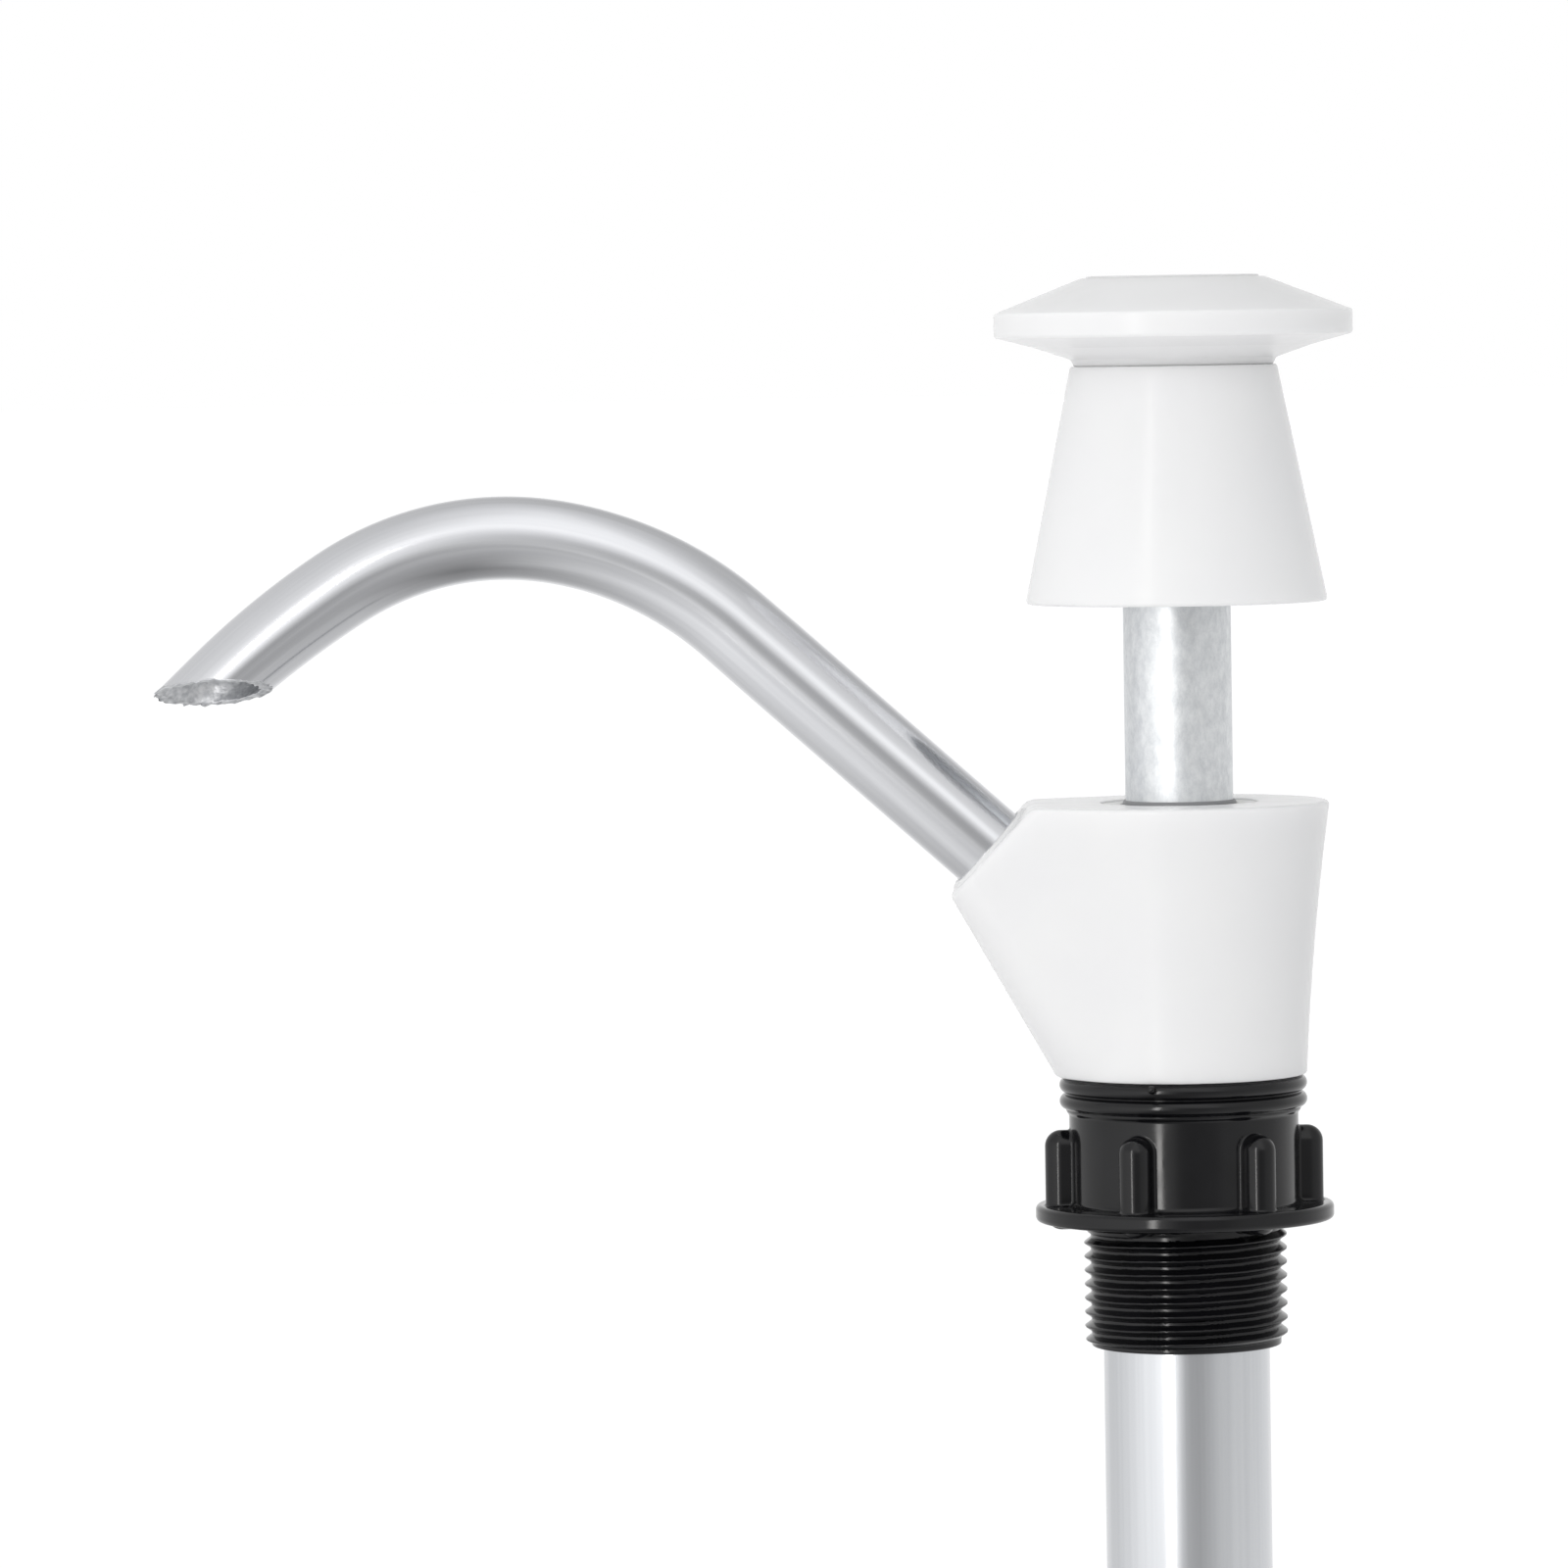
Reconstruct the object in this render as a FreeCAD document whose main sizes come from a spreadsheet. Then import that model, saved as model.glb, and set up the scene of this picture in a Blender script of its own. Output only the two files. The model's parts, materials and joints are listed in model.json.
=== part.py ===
"""Manual water pump: a push-pull barrel pump with a swivelling head and a bent spout.

Millimetres, +Z up. The origin lies on the pump's axis, in the plane of the underside of the
threaded collar's flange. The spout points along -X. The plunger is drawn as photographed,
with the knob's skirt standing clear of the head.
"""
import FreeCAD, Part
import math
import os
import Sketcher

V = FreeCAD.Vector

DRIVING = {
    # tubes
    "cylinder_outer_dia": 21.6,
    "cylinder_wall": 0.8,
    "cylinder_length": 136.0,
    "rod_outer_dia": 14.0,
    "rod_wall": 1.0,
    "rod_length": 165.2,
    "spout_outer_dia": 11.2,
    "spout_wall": 1.0,
    # clearances
    "press_gap": 0.02,
    "running_gap": 0.06,
    "swivel_gap": 0.1,
    "guide_gap": 0.3,
    "end_gap": 0.5,
    # threaded collar, whose walls build outwards from the cylinder tube
    "spigot_wall": 1.98,
    "collar_wall": 2.0,
    "shank_dia": 26.44,
    "shank_length": 15.9,
    "shank_chamfer": 1.0,
    "shank_bore_gap": 0.2,
    "flange_overhang": 4.5,
    "flange_thickness": 2.2,
    "flange_round": 0.7,
    "collar_height": 18.8,
    "collar_floor": 2.4,
    "ridge_pitch": 1.9,
    "ridge_count": 2,
    "ridge_root_step": 0.2,
    "ridge_step": 1.0,
    "ridge_rim": 0.85,
    "rib_reach": 3.2,
    "rib_width": 4.2,
    "rib_top": 12.1,
    "rib_shoulder": 2.6,
    "rib_count": 6,
    "rib_turn": -113.5,
    # snap ring that holds the head down in the collar, and the seal above it
    "snap_wire_dia": 1.6,
    "snap_height": 6.0,
    "snap_opening": 28.0,
    "snap_slot_gap": 0.15,
    "swivel_ring_wire_dia": 1.7,
    "swivel_ring_height": 12.4,
    "ring_slot_gap": 0.1,
    # head
    "swivel_end_play": 0.1,
    "head_height": 35.5,
    "head_overhang": 3.3,
    "head_flare": 3.4,
    "spigot_root": 1.5,
    "branch_angle": 60.5,
    "nose_lead": 0.4,
    "nose_inset": 2.0,
    "nose_top_radius": 5.5,
    "socket_top": 25.0,
    "tube_stop": 1.82,
    "gland_depth": 9.4,
    "gland_web": 1.5,
    "gland_wall": 3.0,
    "gland_seal_height": 4.4,
    "bush_recess": 0.2,
    "bush_chamfer": 0.6,
    "cylinder_ring_wire_dia": 1.6,
    "cylinder_ring_drop": 4.0,
    # spout, measured along its axis from the mouth of its socket
    "mouth_offset": 25.0,
    "mouth_height": 48.9,
    "spout_rise": 42.0,
    "spout_socket_depth": 12.0,
    "spout_passage_length": 26.0,
    "spout_ring_wire_dia": 1.5,
    "spout_ring_depth": 6.0,
    "spout_straight": 43.7,
    "spout_bend_one_radius": 46.6,
    "spout_bend_one_angle": 32.0,
    "spout_bend_two_radius": 39.0,
    "spout_bend_two_angle": 42.7,
    "spout_bend_three_radius": 112.0,
    "spout_bend_three_angle": 10.0,
    "spout_tail": 12.0,
    "outlet_height": 69.6,
    "outlet_tilt": 18.0,
    # knob
    "plunger_lift": 25.9,
    "skirt_height": 30.7,
    "skirt_mouth_dia": 39.2,
    "skirt_neck_dia": 26.8,
    "skirt_wall": 1.8,
    "skirt_floor": 5.5,
    "skirt_round": 0.5,
    "disc_dia": 46.5,
    "disc_neck_dia": 25.0,
    "disc_face_dia": 23.8,
    "disc_under_rise": 3.9,
    "disc_under_sag": 0.35,
    "disc_rim": 3.05,
    "disc_thickness": 11.4,
    "disc_round": 0.6,
    "disc_spigot_dia": 20.0,
    "disc_spigot_length": 3.5,
    "rod_socket_depth": 4.5,
    "disc_web": 2.5,
    "recess_gap": 0.4,
    "cap_margin": 0.7,
    "cap_seat": 1.1,
    "cap_proud": 0.25,
    "cap_chamfer": 0.3,
    "screw_dia": 5.0,
    "screw_length": 14.0,
    "screw_head_dia": 8.8,
    "screw_head_height": 2.2,
    "screw_crown_share": 0.72,
    "screw_bulge_share": 0.93,
    "screw_bulge_height_share": 0.6,
    "washer_dia": 10.4,
    "washer_thickness": 0.9,
    "rod_plug_length": 15.0,
    # piston
    "piston_spigot": 10.0,
    "piston_cage": 10.5,
    "piston_roof": 2.0,
    "piston_flange": 2.0,
    "piston_hub_wall": 1.9,
    "piston_ball_room": 0.6,
    "piston_seal_height": 4.8,
    "seal_lip": 1.0,
    "seal_groove": 2.6,
    "piston_cap_thickness": 3.0,
    "piston_bore_dia": 5.0,
    "piston_ball_dia": 8.0,
    "piston_ball_lift": 3.2,
    "fin_count": 4,
    "fin_thickness": 1.8,
    "port_width": 4.0,
    "port_height": 5.5,
    "port_drop": 3.5,
    "pin_dia": 2.5,
    "pin_height": 5.0,
    "pin_end_gap": 0.2,
    "seat_gap": 0.02,
    # foot valve
    "foot_plug_length": 13.0,
    "foot_shoulder": 3.0,
    "foot_ball_dia": 10.0,
    "foot_ball_lift": 3.2,
    "foot_ball_room": 0.8,
    "foot_ring_wire_dia": 1.6,
    "foot_ring_height": 3.5,
    "cage_ledge": 1.8,
    "cage_thickness": 2.6,
    "cage_hole_dia": 3.4,
    "cage_hole_inset": 2.9,
    "cage_hole_count": 5,
    "tail_bore_dia": 6.8,
    "tail_wall": 2.0,
    "tail_barb_step": 0.8,
    "tail_lead": 3.0,
    "tail_barb_pitch": 5.5,
    "tail_barb_land": 1.2,
    "tail_barb_count": 4,
}

DERIVED = {
    "cylinder_outer_r": "dims.cylinder_outer_dia / 2",
    "cylinder_bore_r": "fits.cylinder_outer_r - dims.cylinder_wall",
    "cylinder_bottom": "dims.socket_top - dims.cylinder_length",
    "rod_r": "dims.rod_outer_dia / 2",
    "rod_bore_r": "fits.rod_r - dims.rod_wall",
    "spout_r": "dims.spout_outer_dia / 2",
    "shank_bore_r": "fits.cylinder_outer_r + dims.shank_bore_gap",
    "tube_socket_r": "fits.cylinder_outer_r + dims.press_gap",
    "spigot_r": "fits.tube_socket_r + dims.spigot_wall",
    "spigot_bore_r": "fits.spigot_r + dims.swivel_gap",
    "collar_r": "fits.spigot_bore_r + dims.collar_wall",
    "ridge_root_r": "fits.collar_r + dims.ridge_root_step",
    "ridge_crest_r": "fits.collar_r + dims.ridge_step",
    "rib_reach_r": "fits.collar_r + dims.rib_reach",
    "flange_r": "fits.collar_r + dims.flange_overhang",
    "spigot_bottom": "dims.collar_floor + dims.swivel_end_play",
    "snap_r": "dims.snap_wire_dia / 2",
    "head_base": "dims.collar_height + dims.swivel_end_play",
    "head_top": "fits.head_base + dims.head_height",
    "head_base_r": "fits.spigot_r + dims.head_overhang",
    "chamber_r": "fits.tube_socket_r - dims.tube_stop",
    "gland_floor": "fits.head_top - dims.gland_depth",
    "chamber_top": "fits.gland_floor - dims.gland_web",
    "gland_r": "fits.rod_r + dims.gland_wall",
    "gland_hole_r": "fits.rod_r + dims.guide_gap",
    "spout_socket_r": "fits.spout_r + dims.press_gap",
    "spout_turn": "90 - dims.spout_rise",
    "mouth_across": "-dims.mouth_offset",
    "skirt_bottom": "fits.head_top + dims.plunger_lift",
    "disc_base": "fits.skirt_bottom + dims.skirt_height",
    "disc_spigot_r": "dims.disc_spigot_dia / 2",
    "disc_rim_bottom": "fits.disc_base + dims.disc_under_rise",
    "disc_top": "fits.disc_base + dims.disc_thickness",
    "rod_top": "fits.disc_base + dims.rod_socket_depth",
    "rod_bottom": "fits.rod_top - dims.rod_length",
    "rod_socket_r": "fits.rod_r + dims.press_gap",
    "web_top": "fits.rod_top + dims.disc_web",
    "cap_seat_z": "fits.disc_top - dims.cap_seat",
    "cap_r": "dims.disc_face_dia / 2 - dims.cap_margin",
    "recess_r": "dims.washer_dia / 2 + dims.recess_gap",
    "screw_r": "dims.screw_dia / 2",
    "screw_hole_r": "fits.screw_r + dims.press_gap",
    "screw_seat": "fits.web_top + dims.washer_thickness",
    "piston_r": "fits.cylinder_bore_r - dims.guide_gap",
    "piston_ball_r": "dims.piston_ball_dia / 2",
    "piston_chamber_r": "fits.piston_ball_r + dims.piston_ball_room",
    "piston_hub_r": "fits.piston_chamber_r + dims.piston_hub_wall",
    "piston_flange_top": "fits.rod_bottom - dims.piston_cage",
    "piston_seal_top": "fits.piston_flange_top - dims.piston_flange",
    "piston_cap_top": "fits.piston_seal_top - dims.piston_seal_height",
    "piston_ceiling": "fits.rod_bottom - dims.piston_roof",
    "piston_ball_z": "fits.piston_ceiling - dims.piston_ball_lift - fits.piston_ball_r",
    "piston_cone_z": "fits.piston_ball_z - (fits.piston_ball_r + dims.seat_gap) * sqrt(2)",
    "pin_z": "fits.rod_bottom + dims.pin_height",
    "pin_hole_r": "dims.pin_dia / 2 + dims.press_gap",
    "plug_r": "fits.cylinder_bore_r - dims.press_gap",
    "plug_top": "fits.cylinder_bottom + dims.foot_plug_length",
    "cage_bottom": "fits.plug_top - dims.cage_thickness",
    "foot_ball_r": "dims.foot_ball_dia / 2",
    "foot_ball_z": "fits.cage_bottom - dims.foot_ball_lift - fits.foot_ball_r",
    "foot_cone_z": "fits.foot_ball_z - (fits.foot_ball_r + dims.seat_gap) * sqrt(2)",
    "foot_chamber_r": "fits.foot_ball_r + dims.foot_ball_room",
    "cage_r": "fits.foot_chamber_r + dims.cage_ledge",
    "foot_ring_z": "fits.cylinder_bottom + dims.foot_ring_height",
    "shoulder_bottom": "fits.cylinder_bottom - dims.foot_shoulder",
    "tail_bore_r": "dims.tail_bore_dia / 2",
    "tail_neck_r": "fits.tail_bore_r + dims.tail_wall",
    "tail_land_r": "fits.tail_neck_r + dims.tail_barb_step",
    "barbs_top": "fits.shoulder_bottom - dims.tail_lead",
}

HEAD_SECTIONS = 3
CUT_SPAN = 60.0


def fill_sheet(sheet, values, prefix=""):
    """Write names in column A and values in column B, each with its name as alias."""
    for row, (alias, value) in enumerate(values.items(), start=1):
        sheet.set(f"A{row}", alias)
        sheet.set(f"B{row}", f"{prefix}{value}")
        sheet.setAlias(f"B{row}", alias)


doc = FreeCAD.newDocument("manual_water_pump")
dims = doc.addObject("Spreadsheet::Sheet", "dims")
fits = doc.addObject("Spreadsheet::Sheet", "fits")
fill_sheet(dims, DRIVING)
doc.recompute()
fill_sheet(fits, {name: text.replace("fits.", "") for name, text in DERIVED.items()}, "=")
doc.recompute()

pieces = []


def number(expression):
    """The value of an expression on the two sheets, for a sketch's first guess."""
    value = dims.evalExpression(str(expression))
    return float(getattr(value, "Value", value))


def new_body(label):
    body = doc.addObject("PartDesign::Body", label)
    body.Label = label
    pieces.append(body)
    return body


def origin_plane(body, role):
    return [item for item in body.Origin.OriginFeatures if item.Role == role][0]


def new_sketch(body, name, role="XZ_Plane", base=("0", "0", "0"), axis=V(0, 0, 1), angle="0"):
    """A sketch on an origin plane of its body, shifted and turned by bound expressions."""
    sketch = body.newObject("Sketcher::SketchObject", name)
    sketch.AttachmentSupport = [(origin_plane(body, role), "")]
    sketch.MapMode = "FlatFace"
    sketch.AttachmentOffset = FreeCAD.Placement(V(0, 0, 0), FreeCAD.Rotation(axis, 1.0))
    for letter, expression in zip("xyz", base):
        sketch.setExpression(f".AttachmentOffset.Base.{letter}", expression)
    sketch.setExpression(".AttachmentOffset.Rotation.Angle", angle)
    return sketch


def hold(sketch, constraint, expression):
    """Add a dimension and bind it to an expression."""
    index = sketch.addConstraint(constraint)
    sketch.setExpression(f"Constraints[{index}]", str(expression))


def place(sketch, geometry, end, corner):
    """Fix one point of a sketch by its two distances from the sketch's origin."""
    across, up = number(corner[0]), number(corner[1])
    hold(sketch, Sketcher.Constraint("DistanceX", -1, 1, geometry, end, across), corner[0])
    hold(sketch, Sketcher.Constraint("DistanceY", -1, 1, geometry, end, up), corner[1])


def outline(sketch, points):
    """A closed outline. A point marked "via" lies on the arc between its two neighbours."""
    corners = [point for point in points if len(point) == 2]
    links = []
    for index, corner in enumerate(points):
        if len(corner) == 2:
            following = points[(index + 1) % len(points)]
            links.append(following if len(following) == 3 else None)
    ends = []
    for index, corner in enumerate(corners):
        start = V(number(corner[0]), number(corner[1]), 0)
        target = corners[(index + 1) % len(corners)]
        stop = V(number(target[0]), number(target[1]), 0)
        if links[index] is None:
            edge = sketch.addGeometry(Part.LineSegment(start, stop), False)
            ends.append((edge, 1, 2))
            continue
        middle = V(number(links[index][0]), number(links[index][1]), 0)
        forward = (middle - start).cross(stop - start).z > 0
        first, last = (start, stop) if forward else (stop, start)
        edge = sketch.addGeometry(Part.Arc(first, middle, last), False)
        ends.append((edge, 1, 2) if forward else (edge, 2, 1))
    for index, (edge, _, stop_end) in enumerate(ends):
        after, start_end, _ = ends[(index + 1) % len(ends)]
        sketch.addConstraint(Sketcher.Constraint("Coincident", edge, stop_end, after, start_end))
    for (edge, start_end, _), corner in zip(ends, corners):
        place(sketch, edge, start_end, corner)
    for (edge, _, _), link in zip(ends, links):
        if link is not None:
            middle = V(number(link[0]), number(link[1]), 0)
            mark = sketch.addGeometry(Part.Point(middle), True)
            place(sketch, mark, 1, link)
            sketch.addConstraint(Sketcher.Constraint("PointOnObject", mark, 1, edge))


def turned(body, kind, name, points, **offset):
    """A Revolution or a Groove of an outline about its sketch's vertical axis."""
    sketch = new_sketch(body, f"{name}_sketch", **offset)
    outline(sketch, points)
    feature = body.newObject(f"PartDesign::{kind}", name)
    feature.Profile = sketch
    feature.ReferenceAxis = (sketch, ["V_Axis"])
    feature.Angle = 360
    sketch.Visibility = False
    doc.recompute()
    return feature


def extruded(body, kind, name, sketch, length, through=False):
    """A Pad or a Pocket, equally far to both sides of its sketch."""
    feature = body.newObject(f"PartDesign::{kind}", name)
    feature.Profile = sketch
    feature.SideType = "Symmetric"
    if through:
        feature.Type = "ThroughAll"
    else:
        feature.setExpression("Length", length)
    sketch.Visibility = False
    doc.recompute()
    return feature


def around(body, name, original, count):
    """A polar pattern about the body's Z axis."""
    pattern = body.newObject("PartDesign::PolarPattern", name)
    pattern.Originals = [original]
    pattern.Axis = (origin_plane(body, "Z_Axis"), [""])
    pattern.Angle = 360
    pattern.setExpression("Occurrences", count)
    body.Tip = pattern
    doc.recompute()
    return pattern


def round_edges(body, name, radius, wanted):
    """Fillet the edges of the body's tip that the test picks out."""
    base = body.Tip
    names = [f"Edge{i}" for i, edge in enumerate(base.Shape.Edges, start=1) if wanted(edge)]
    fillet = body.newObject("PartDesign::Fillet", name)
    fillet.Base = (base, names)
    fillet.setExpression("Radius", radius)
    doc.recompute()
    return fillet


def ring_edge(radius, height):
    """A test for a whole or part circle of this radius, level at this height."""
    wanted_radius, wanted_height = number(radius), number(height)

    def test(edge):
        curve = edge.Curve
        if not isinstance(curve, Part.Circle):
            return False
        right_size = abs(curve.Radius - wanted_radius) < 1e-4
        return right_size and abs(curve.Center.z - wanted_height) < 1e-4

    return test


def rubber_ring(label, mean_radius, wire_dia, height):
    """An O-ring lying level."""
    ring = doc.addObject("Part::Torus", label)
    ring.Label = label
    ring.setExpression("Radius1", mean_radius)
    ring.setExpression("Radius2", f"{wire_dia} / 2")
    ring.setExpression(".Placement.Base.z", height)
    pieces.append(ring)
    return ring


def ball(label, diameter, height):
    sphere = doc.addObject("Part::Sphere", label)
    sphere.Label = label
    sphere.setExpression("Radius", f"{diameter} / 2")
    sphere.setExpression(".Placement.Base.z", height)
    pieces.append(sphere)
    return sphere


def slot_corners(side_r, floor_r, middle, half_width):
    """The four corners of a ring groove, from its lower to its upper lip."""
    low = f"{middle} - ({half_width})"
    high = f"{middle} + ({half_width})"
    return [(side_r, low), (floor_r, low), (floor_r, high), (side_r, high)]


def make_threaded_collar():
    """Root piece: threaded shank, flange, ribbed collar and a mouth with a two-turn ridge."""
    body = new_body("threaded_collar")
    shank_r = "dims.shank_dia / 2"
    ridge_foot = "dims.collar_height - dims.ridge_rim - dims.ridge_pitch * dims.ridge_count"
    points = [
        ("fits.shank_bore_r", "-dims.shank_length"),
        (f"{shank_r} - dims.shank_chamfer", "-dims.shank_length"),
        (shank_r, "-dims.shank_length + dims.shank_chamfer"),
        (shank_r, "0"),
        ("fits.flange_r", "0"),
        ("fits.flange_r", "dims.flange_thickness"),
        ("fits.collar_r", "dims.flange_thickness"),
        ("fits.collar_r", f"{ridge_foot} - dims.ridge_root_step"),
        ("fits.ridge_root_r", ridge_foot),
    ]
    for turn in range(int(number("dims.ridge_count"))):
        points.append(("fits.ridge_crest_r", f"{ridge_foot} + dims.ridge_pitch * {turn + 0.5}"))
        points.append(("fits.ridge_root_r", f"{ridge_foot} + dims.ridge_pitch * {turn + 1}"))
    points += [
        ("fits.ridge_root_r", "dims.collar_height"),
        ("fits.spigot_bore_r", "dims.collar_height"),
        ("fits.spigot_bore_r", "dims.collar_floor"),
        ("fits.shank_bore_r", "dims.collar_floor"),
    ]
    turned(body, "Revolution", "collar_turning", points)
    snap_slot = slot_corners("fits.spigot_bore_r - dims.snap_wire_dia",
                             "fits.spigot_bore_r + fits.snap_r + dims.press_gap",
                             "dims.snap_height", "fits.snap_r + dims.press_gap")
    turned(body, "Groove", "snap_ring_slot", snap_slot)
    round_edges(body, "flange_rounding", "dims.flange_round",
                lambda edge: ring_edge("fits.flange_r", "0")(edge)
                or ring_edge("fits.flange_r", "dims.flange_thickness")(edge))

    rib_sketch = new_sketch(body, "rib_sketch", role="XY_Plane", base=("0", "0", "dims.rib_top"),
                            angle="dims.rib_turn")
    reach = "fits.rib_reach_r"
    inner = "(fits.spigot_bore_r + fits.collar_r) / 2"
    side = "dims.rib_width / 2"
    outline(rib_sketch, [
        (inner, f"-{side}"),
        (f"{reach} - {side}", f"-{side}"),
        (reach, "0", "via"),
        (f"{reach} - {side}", side),
        (inner, side),
    ])
    rib = body.newObject("PartDesign::Pad", "rib")
    rib.Profile = rib_sketch
    rib.Reversed = True
    rib.setExpression("Length", "dims.rib_top - dims.flange_thickness / 2")
    rib_sketch.Visibility = False
    doc.recompute()
    around(body, "ribs", rib, "dims.rib_count")
    bend = "dims.rib_shoulder * (1 - sqrt(0.5))"
    turned(body, "Groove", "rib_shoulders", [
        (f"{reach} - dims.rib_shoulder", "dims.rib_top"),
        (f"{reach} - {bend}", f"dims.rib_top - {bend}", "via"),
        (reach, "dims.rib_top - dims.rib_shoulder"),
        ("fits.flange_r", "dims.rib_top - dims.rib_shoulder"),
        ("fits.flange_r", "dims.collar_height"),
        (f"{reach} - dims.rib_shoulder", "dims.collar_height"),
    ])
    return body


def make_snap_ring():
    """Open wire ring, half in the collar's slot and half in the spigot's."""
    body = new_body("snap_ring")
    sketch = new_sketch(body, "wire_sketch")
    centre = V(number("fits.spigot_bore_r"), number("dims.snap_height"), 0)
    wire = sketch.addGeometry(Part.Circle(centre, V(0, 0, 1), number("fits.snap_r")), False)
    place(sketch, wire, 3, ("fits.spigot_bore_r", "dims.snap_height"))
    hold(sketch, Sketcher.Constraint("Radius", wire, number("fits.snap_r")), "fits.snap_r")
    feature = body.newObject("PartDesign::Revolution", "wire")
    feature.Profile = sketch
    feature.ReferenceAxis = (sketch, ["V_Axis"])
    feature.setExpression("Angle", "360 - dims.snap_opening")
    sketch.Visibility = False
    doc.recompute()
    return body


def teardrop_section(body, name, part):
    """Level section through the head: the cup's circle and the branch's nose, with tangents."""
    height = f"fits.head_base + dims.head_height * {part}"
    cup_r = f"fits.head_base_r + dims.head_flare * ({part} + {part} ^ 2) / 2"
    base_nose = "(fits.head_base_r - dims.nose_inset)"
    nose_r = f"{base_nose} + (dims.nose_top_radius - {base_nose}) * {part}"
    tip = (f"fits.head_base_r + dims.nose_lead"
           f" + dims.head_height * {part} / tan(dims.branch_angle * 1 deg)")
    centre = f"-({tip} - ({nose_r}))"
    big, small, shift = number(cup_r), number(nose_r), number(centre)
    lean = math.acos((big - small) / -shift)
    sketch = new_sketch(body, name, role="XY_Plane", base=("0", "0", height))
    cup = Part.Circle(V(0, 0, 0), V(0, 0, 1), big)
    nose = Part.Circle(V(shift, 0, 0), V(0, 0, 1), small)
    cup_arc = sketch.addGeometry(Part.ArcOfCircle(cup, lean - math.pi, math.pi - lean), False)
    nose_arc = sketch.addGeometry(Part.ArcOfCircle(nose, math.pi - lean, math.pi + lean), False)
    far = V(-math.cos(lean), math.sin(lean), 0)
    near = V(-math.cos(lean), -math.sin(lean), 0)
    top_line = Part.LineSegment(far * big, far * small + V(shift, 0, 0))
    low_line = Part.LineSegment(near * small + V(shift, 0, 0), near * big)
    upper = sketch.addGeometry(top_line, False)
    lower = sketch.addGeometry(low_line, False)
    sketch.addConstraint(Sketcher.Constraint("Coincident", cup_arc, 3, -1, 1))
    sketch.addConstraint(Sketcher.Constraint("Tangent", cup_arc, 2, upper, 1))
    sketch.addConstraint(Sketcher.Constraint("Tangent", upper, 2, nose_arc, 1))
    sketch.addConstraint(Sketcher.Constraint("Tangent", nose_arc, 2, lower, 1))
    sketch.addConstraint(Sketcher.Constraint("Tangent", lower, 2, cup_arc, 1))
    sketch.addConstraint(Sketcher.Constraint("PointOnObject", nose_arc, 3, -1))
    hold(sketch, Sketcher.Constraint("DistanceX", -1, 1, nose_arc, 3, shift), centre)
    hold(sketch, Sketcher.Constraint("Radius", cup_arc, big), cup_r)
    hold(sketch, Sketcher.Constraint("Radius", nose_arc, small), nose_r)
    sketch.Visibility = False
    return sketch


def spout_frame():
    """Offset of a sketch whose origin is the spout socket's mouth and whose V axis is the spout."""
    return {"base": ("fits.mouth_across", "dims.mouth_height", "0"), "angle": "fits.spout_turn"}


def make_pump_head():
    """White moulding: a flared cup that grows into the slanted branch, on a swivel spigot."""
    body = new_body("pump_head")
    sections = []
    for index in range(HEAD_SECTIONS):
        share = index / (HEAD_SECTIONS - 1)
        sections.append(teardrop_section(body, f"section_{index}", share))
    doc.recompute()
    cup = body.newObject("PartDesign::AdditiveLoft", "cup_and_branch")
    cup.Profile = sections[0]
    cup.Sections = sections[1:]
    cup.Ruled = False
    doc.recompute()

    mouth = new_sketch(body, "mouth_cut_sketch", **spout_frame())
    reach = str(CUT_SPAN)
    outline(mouth, [(f"-{reach}", "0"), (reach, "0"), (reach, reach), (f"-{reach}", reach)])
    extruded(body, "Pocket", "mouth_cut", mouth, "0", through=True)
    groove_r = "fits.spigot_bore_r - dims.swivel_ring_wire_dia - dims.ring_slot_gap"
    points = [("0", "fits.spigot_bottom"), ("fits.spigot_r", "fits.spigot_bottom")]
    points += slot_corners("fits.spigot_r",
                           "fits.spigot_bore_r - fits.snap_r - dims.snap_slot_gap",
                           "dims.snap_height", "fits.snap_r + dims.snap_slot_gap")
    points += slot_corners("fits.spigot_r", groove_r, "dims.swivel_ring_height",
                           "dims.swivel_ring_wire_dia / 2 + dims.ring_slot_gap")
    points += [("fits.spigot_r", "fits.head_base + dims.spigot_root"),
               ("0", "fits.head_base + dims.spigot_root")]
    turned(body, "Revolution", "spigot", points)

    ring_z = "dims.socket_top - dims.cylinder_ring_drop"
    ring_floor = "fits.tube_socket_r + dims.cylinder_ring_wire_dia"
    bore = [("0", "fits.spigot_bottom - 1"), ("fits.tube_socket_r", "fits.spigot_bottom - 1")]
    bore += slot_corners("fits.tube_socket_r", ring_floor, ring_z,
                         "dims.cylinder_ring_wire_dia / 2 + dims.ring_slot_gap")
    bore += [
        ("fits.tube_socket_r", "dims.socket_top"),
        ("fits.chamber_r", "dims.socket_top"),
        ("fits.chamber_r", "fits.chamber_top"),
        ("fits.gland_hole_r", "fits.chamber_top"),
        ("fits.gland_hole_r", "fits.gland_floor"),
        ("fits.gland_r", "fits.gland_floor"),
        ("fits.gland_r", "fits.head_top + 1"),
        ("0", "fits.head_top + 1"),
    ]
    turned(body, "Groove", "tube_socket_and_gland", bore)

    passage_r = "fits.spout_r - dims.spout_wall"
    passage = [("0", "1"), ("0", "-dims.spout_passage_length"),
               (passage_r, "-dims.spout_passage_length"),
               (passage_r, "-dims.spout_socket_depth"),
               ("fits.spout_socket_r", "-dims.spout_socket_depth")]
    passage += slot_corners("fits.spout_socket_r",
                            "fits.spout_socket_r + dims.spout_ring_wire_dia",
                            "-dims.spout_ring_depth",
                            "dims.spout_ring_wire_dia / 2 + dims.ring_slot_gap")
    passage += [("fits.spout_socket_r", "1")]
    turned(body, "Groove", "spout_socket", passage, **spout_frame())
    return body


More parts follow.
